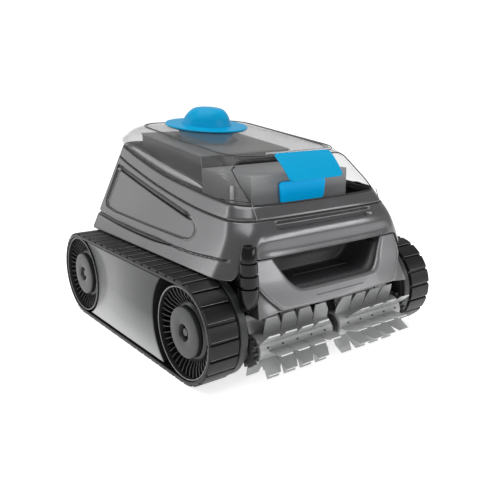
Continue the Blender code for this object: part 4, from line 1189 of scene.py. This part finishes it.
def along_shield(share):
    """The same for the shield, whose edges are straight."""
    at = (len(SHIELD) - 1) * (1 - abs(1 - 2 * share))
    i = min(int(at), len(SHIELD) - 2)
    (x0, z0), (x1, z1) = SHIELD[i], SHIELD[i + 1]
    x = x0 + (x1 - x0) * (at - i)
    return (x if share <= 0.5 else -x), z0 + (z1 - z0) * (at - i)


def panel_point(x, z, back=0.0):
    return Vector((x, through(FASCIA_AT, z) - CROWN * (1 - (x / 0.13) ** 2) + back, z))


def add_front_panel(count=96, rows=12):
    grid = []
    for roll, back in ((0.0, 0.0060), (0.0, 0.0026), (0.04, 0.0008), (0.10, 0.0)):
        grid.append([panel_point(*blend_outline(i / count, roll), back)
                     for i in range(count + 1)])
    for j in range(1, rows + 1):
        share = 0.10 + 0.90 * j / rows
        back = 0.0010 if j == rows else 0.0
        grid.append([panel_point(*blend_outline(i / count, share), back)
                     for i in range(count + 1)])
    bm = bmesh.new()
    loft_rows(bm, grid, closed=False)
    bmesh.ops.recalc_face_normals(bm, faces=bm.faces)
    bm.faces.ensure_lookup_table()
    if bm.faces[len(bm.faces) - 1].normal.y > 0:
        bmesh.ops.reverse_faces(bm, faces=bm.faces)
    panel = piece("shield_panel", bm, finishes["panel_grey"], "base",
                  ["front_panel"], 60)
    thicken(panel, 0.0024)


def blend_outline(along, share):
    (x0, z0), (x1, z1) = along_notch(NOTCH, along), along_shield(along)
    return x0 + (x1 - x0) * share, z0 + (z1 - z0) * share


add_front_panel()
trim_line = [panel_point(-0.045 + 0.085 * k / 20, 0.1072, -0.0002) for k in range(21)]
bead("panel_trim_line", trim_line, 0.0004, line_black, "base")
print("front panel")


# %% Tray
def add_tray(count=60):
    pocket_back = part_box("handle_pocket")[1].y - 0.002
    rows = []
    for depth, shrink, lift in ((0.0, 1.0, 0.0005), (0.25, 0.985, 0.0010), (0.6, 0.96, 0.0018),
                                (0.9, 0.93, 0.0026), (0.98, 0.90, 0.0040), (1.0, 0.86, 0.0065)):
        ring = []
        for i in range(count + 1):
            x, z = along_notch(NOTCH, i / count)
            mouth = through(FASCIA_AT, z) + 0.0045
            ring.append(Vector((x * shrink, mouth + (pocket_back - mouth) * depth,
                                z + lift if z < 0.15 else z - lift)))
        ring += [Vector((x * shrink, ring[0].y, panel_top - 0.001 - lift))
                 for x in (0.06, 0.0, -0.06)]
        rows.append(ring)
    bm = bmesh.new()
    loft_rows(bm, rows, cap_last=True)
    bmesh.ops.recalc_face_normals(bm, faces=bm.faces)
    bmesh.ops.reverse_faces(bm, faces=bm.faces)
    tray = piece("hand_tray", bm, finishes["tub_grey"], "base", ["handle_pocket"], 50)
    thicken(tray, 0.0015)


add_tray()
for drop, back in ((0.1215, -0.178), (0.1370, -0.1520)):
    ridge = [(-0.050 + 0.100 * k / 16, back, drop + 0.0020) for k in range(17)]
    bead("tray_ridge_" + str(round(drop * 10000)), ridge, 0.0006, finishes["cap_grey"], "base")
print("hand tray")

# %% [markdown]
# ## Brushes
# Soft paddles stand in ten rows along each core, and every other row is shifted by half a paddle so the floor is
# swept without gaps. A paddle is narrower at its tip, leans a little, and has one slanted flank. It is a thin
# plate, and its paler tip is painted light, standing for the light that comes through its thin end.

# %% Paddles
brush_axle = Vector(joints["brush_left_spin"]["pos_m"])
sleeve_low, sleeve_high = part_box("brush_sleeve_left")
PADDLES = 4
ROWS = 10
PADDLE_T = 0.0018


def paddle(bm, side, start, width, turn):
    """One plate between the core and the tip, at an angle round the axle."""
    reach = (sleeve_high.z - sleeve_low.z) / 2 - 0.0004
    spots = ((0.0175, 0.00, 1.00, 0.0), (0.0300, 0.03, 1.00, -0.02), (reach, 0.30, 0.99, -0.05))
    rows = []
    for radius, left, right, lean in spots:
        ring = []
        for share, thick in ((left, -1), (right, -1), (right, 1), (left, 1)):
            a = turn + lean + thick * PADDLE_T / 2 / radius
            ring.append((side * (start + width * share),
                         brush_axle.y + radius * math.cos(a),
                         brush_axle.z + radius * math.sin(a)))
        rows.append(ring)
    made = loft_rows(bm, rows, cap_first=True, cap_last=True)
    tip = bm.faces.get(made[-1])
    tip.material_index = 1


def add_brush(side_name, side):
    bm = bmesh.new()
    span = sleeve_high.x - sleeve_low.x
    pitch = span / (PADDLES + 0.5)
    for row in range(ROWS):
        shift = pitch / 2 if row % 2 else 0.0
        for k in range(PADDLES):
            paddle(bm, side, sleeve_low.x + shift + k * pitch + 0.0005, pitch * 0.98,
                   math.pi + 2 * math.pi * row / ROWS)
    rows = []
    for radius, x in ((0.0150, sleeve_low.x), (0.0185, sleeve_low.x + 0.0004),
                      (0.0185, sleeve_high.x - 0.0004), (0.0150, sleeve_high.x)):
        rows.append([(side * x, brush_axle.y + radius * math.cos(a),
                      brush_axle.z + radius * math.sin(a)) for a in turns(40)])
    loft_rows(bm, rows + rows[:1])
    bmesh.ops.recalc_face_normals(bm, faces=bm.faces)
    name = "brush_" + side_name
    brush = piece("paddles_" + side_name, bm, finishes["brush_grey"], name,
                  ["brush_sleeve_" + side_name], 30)
    # Second material: the paddle tips, painted paler as painted light.
    brush.data.materials.append(paddle_tip_painted_light.material)
    soften(brush, 0.0004, 1)
    for k in range(5):
        x = side * (sleeve_low.x + 0.015 + k * 0.024)
        pin = [(x, brush_axle.y - 0.0180, brush_axle.z + 0.0050),
               (x, brush_axle.y - 0.0190, brush_axle.z + 0.0053)]
        bead("core_hole_" + side_name + "_" + str(k), pin, 0.0011, line_black, name)


for side_name, side in SIDES:
    add_brush(side_name, side)
print("brushes:", 2 * PADDLES * ROWS, "paddles")

# %% [markdown]
# ## Cable boot and guards
# The boot is rubber, ribbed so it can bend, and it turns under into the shell through an elbow.
# Rings placed along a bent centre line give both the ribs and the elbow.

# %% Boot
boot_low, boot_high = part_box("cable_boot")
boot_mid = (boot_low + boot_high) / 2
BOOT_RADII = [(0.0, 0.0084), (0.0014, 0.0096), (0.0165, 0.0108), (0.0172, 0.0080),
              (0.0200, 0.0080), (0.0207, 0.0112), (0.0320, 0.0119), (0.0327, 0.0088),
              (0.0355, 0.0088), (0.0362, 0.0123), (0.0470, 0.0128), (0.0477, 0.0096),
              (0.0505, 0.0096), (0.0512, 0.0131), (0.0620, 0.0132), (0.0740, 0.0120),
              (0.0860, 0.0094)]


def add_boot(around=28):
    rows = []
    for k in range(2):
        radius = 0.0038 + 0.0030 * k
        rows.append([(boot_mid.x + radius * math.cos(a), boot_mid.y + radius * math.sin(a),
                      boot_high.z - 0.0060 + 0.0058 * k) for a in turns(around)])
    straight = 0.0600
    bend = 0.0180
    for distance, radius in BOOT_RADII:
        past = max(0.0, distance - straight)
        turn = past / bend
        centre = Vector((boot_mid.x + bend * (1 - math.cos(turn)) * 0.6,
                         boot_mid.y + bend * (1 - math.cos(turn)) * 0.5,
                         boot_high.z - min(distance, straight) - bend * math.sin(turn)))
        tip = Matrix.Rotation(-turn * 0.7, 3, "Y")
        rows.append([centre + tip @ Vector((radius * math.cos(a), radius * math.sin(a), 0))
                     for a in turns(around)])
    bm = bmesh.new()
    loft_rows(bm, rows, cap_first=True, cap_last=True)
    bmesh.ops.recalc_face_normals(bm, faces=bm.faces)
    piece("ribbed_boot", bm, boot_black, "base", ["cable_boot"], 50)


add_boot()

# %% [markdown]
# The guards are turned rings that stand beside the front belts, and the corner plates are three
# points given a wall. Both are drawn a little over the working model's own, which have square
# edges, so that their edges are eased and catch light.

# %% Guards and corner plates
GUSSET = ((0.1270, 0.1290), (0.1345, 0.0920), (0.1010, 0.0965))
GUSSET_BACK = 0.006
for side_name, side in SIDES:
    bm = bmesh.new()
    spun(bm, [(0.0605, 0.1446), (0.0650, 0.1446), (0.0660, 0.1456), (0.0660, 0.1544),
              (0.0650, 0.1554), (0.0605, 0.1554)], side, front_axle, 96)
    bmesh.ops.recalc_face_normals(bm, faces=bm.faces)
    piece("belt_guard_" + side_name, bm, finishes["cap_grey"], "base")
    gusset = [panel_point(side * x, z, GUSSET_BACK) for x, z in GUSSET]
    bm = bmesh.new()
    bm.faces.new([bm.verts.new(point) for point in gusset])
    corner = piece("corner_gusset_" + side_name, bm, finishes["panel_grey"], "base")
    thicken(corner, 0.0020, 0.0)
    soften(corner, 0.0004, 2)
print("boot, guards and gussets")

# %% [markdown]
# ## Under the clear lid
# What shows through the lid is the filter canister: a dark box whose moulded edges catch light, a smoked cover,
# and two white pegs in front of it. Thin pale beads along its edges are painted highlights, where a millimetre of
# rounded edge catches light on the real moulding.

# %% Canister edges and pegs
PEG_AT = (0.0905, -0.100)
PEG_PROFILE = ((0.0030, 0.1980), (0.0030, 0.2140), (0.0028, 0.2150), (0.0028, 0.2335),
               (0.0020, 0.2350))
box_low, box_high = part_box("canister_lid")
canister_low, canister_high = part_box("canister")


def canister_top(y):
    share = (y - canister_low.y) / (canister_high.y - canister_low.y)
    front_z = canister_high.z - 0.120 * (canister_high.y - canister_low.y)
    return front_z + (canister_high.z - front_z) * share


# Pale beads on the canister's edges are painted highlights.
for side_name, side in SIDES:
    x = side * (box_high.x + 0.0002)
    along = [(x, box_low.y + (box_high.y - box_low.y) * k / 12,
              canister_top(box_low.y + (box_high.y - box_low.y) * k / 12) + 0.0016)
             for k in range(13)]
    bead("canister_edge_" + side_name, along, 0.0007, painted_highlight, "base")
    down = [(x * (1 - 0.05 * k / 8), box_low.y, canister_top(box_low.y) - 0.045 * k / 8)
            for k in range(9)]
    bead("canister_corner_" + side_name, down, 0.0007, painted_highlight, "base")
    peg = bmesh.new()
    rows = [[(side * PEG_AT[0] + r * math.cos(a), PEG_AT[1] + r * math.sin(a), z)
             for a in turns(20)] for r, z in PEG_PROFILE]
    loft_rows(peg, rows, cap_first=True, cap_last=True)
    piece("closing_peg_" + side_name, peg, finishes["white_nylon"], "base")
front_edge = [(-box_high.x + 2 * box_high.x * k / 12, box_low.y,
               canister_top(box_low.y) + 0.0016) for k in range(13)]
bead("canister_edge_front", front_edge, 0.0007, painted_highlight, "base")
print("canister edges and pegs")

# %% [markdown]
# ## Close the scene
# Plain colour management keeps white white, as in a catalogue.

# %% Finish
bpy.context.scene.view_settings.view_transform = "Standard"
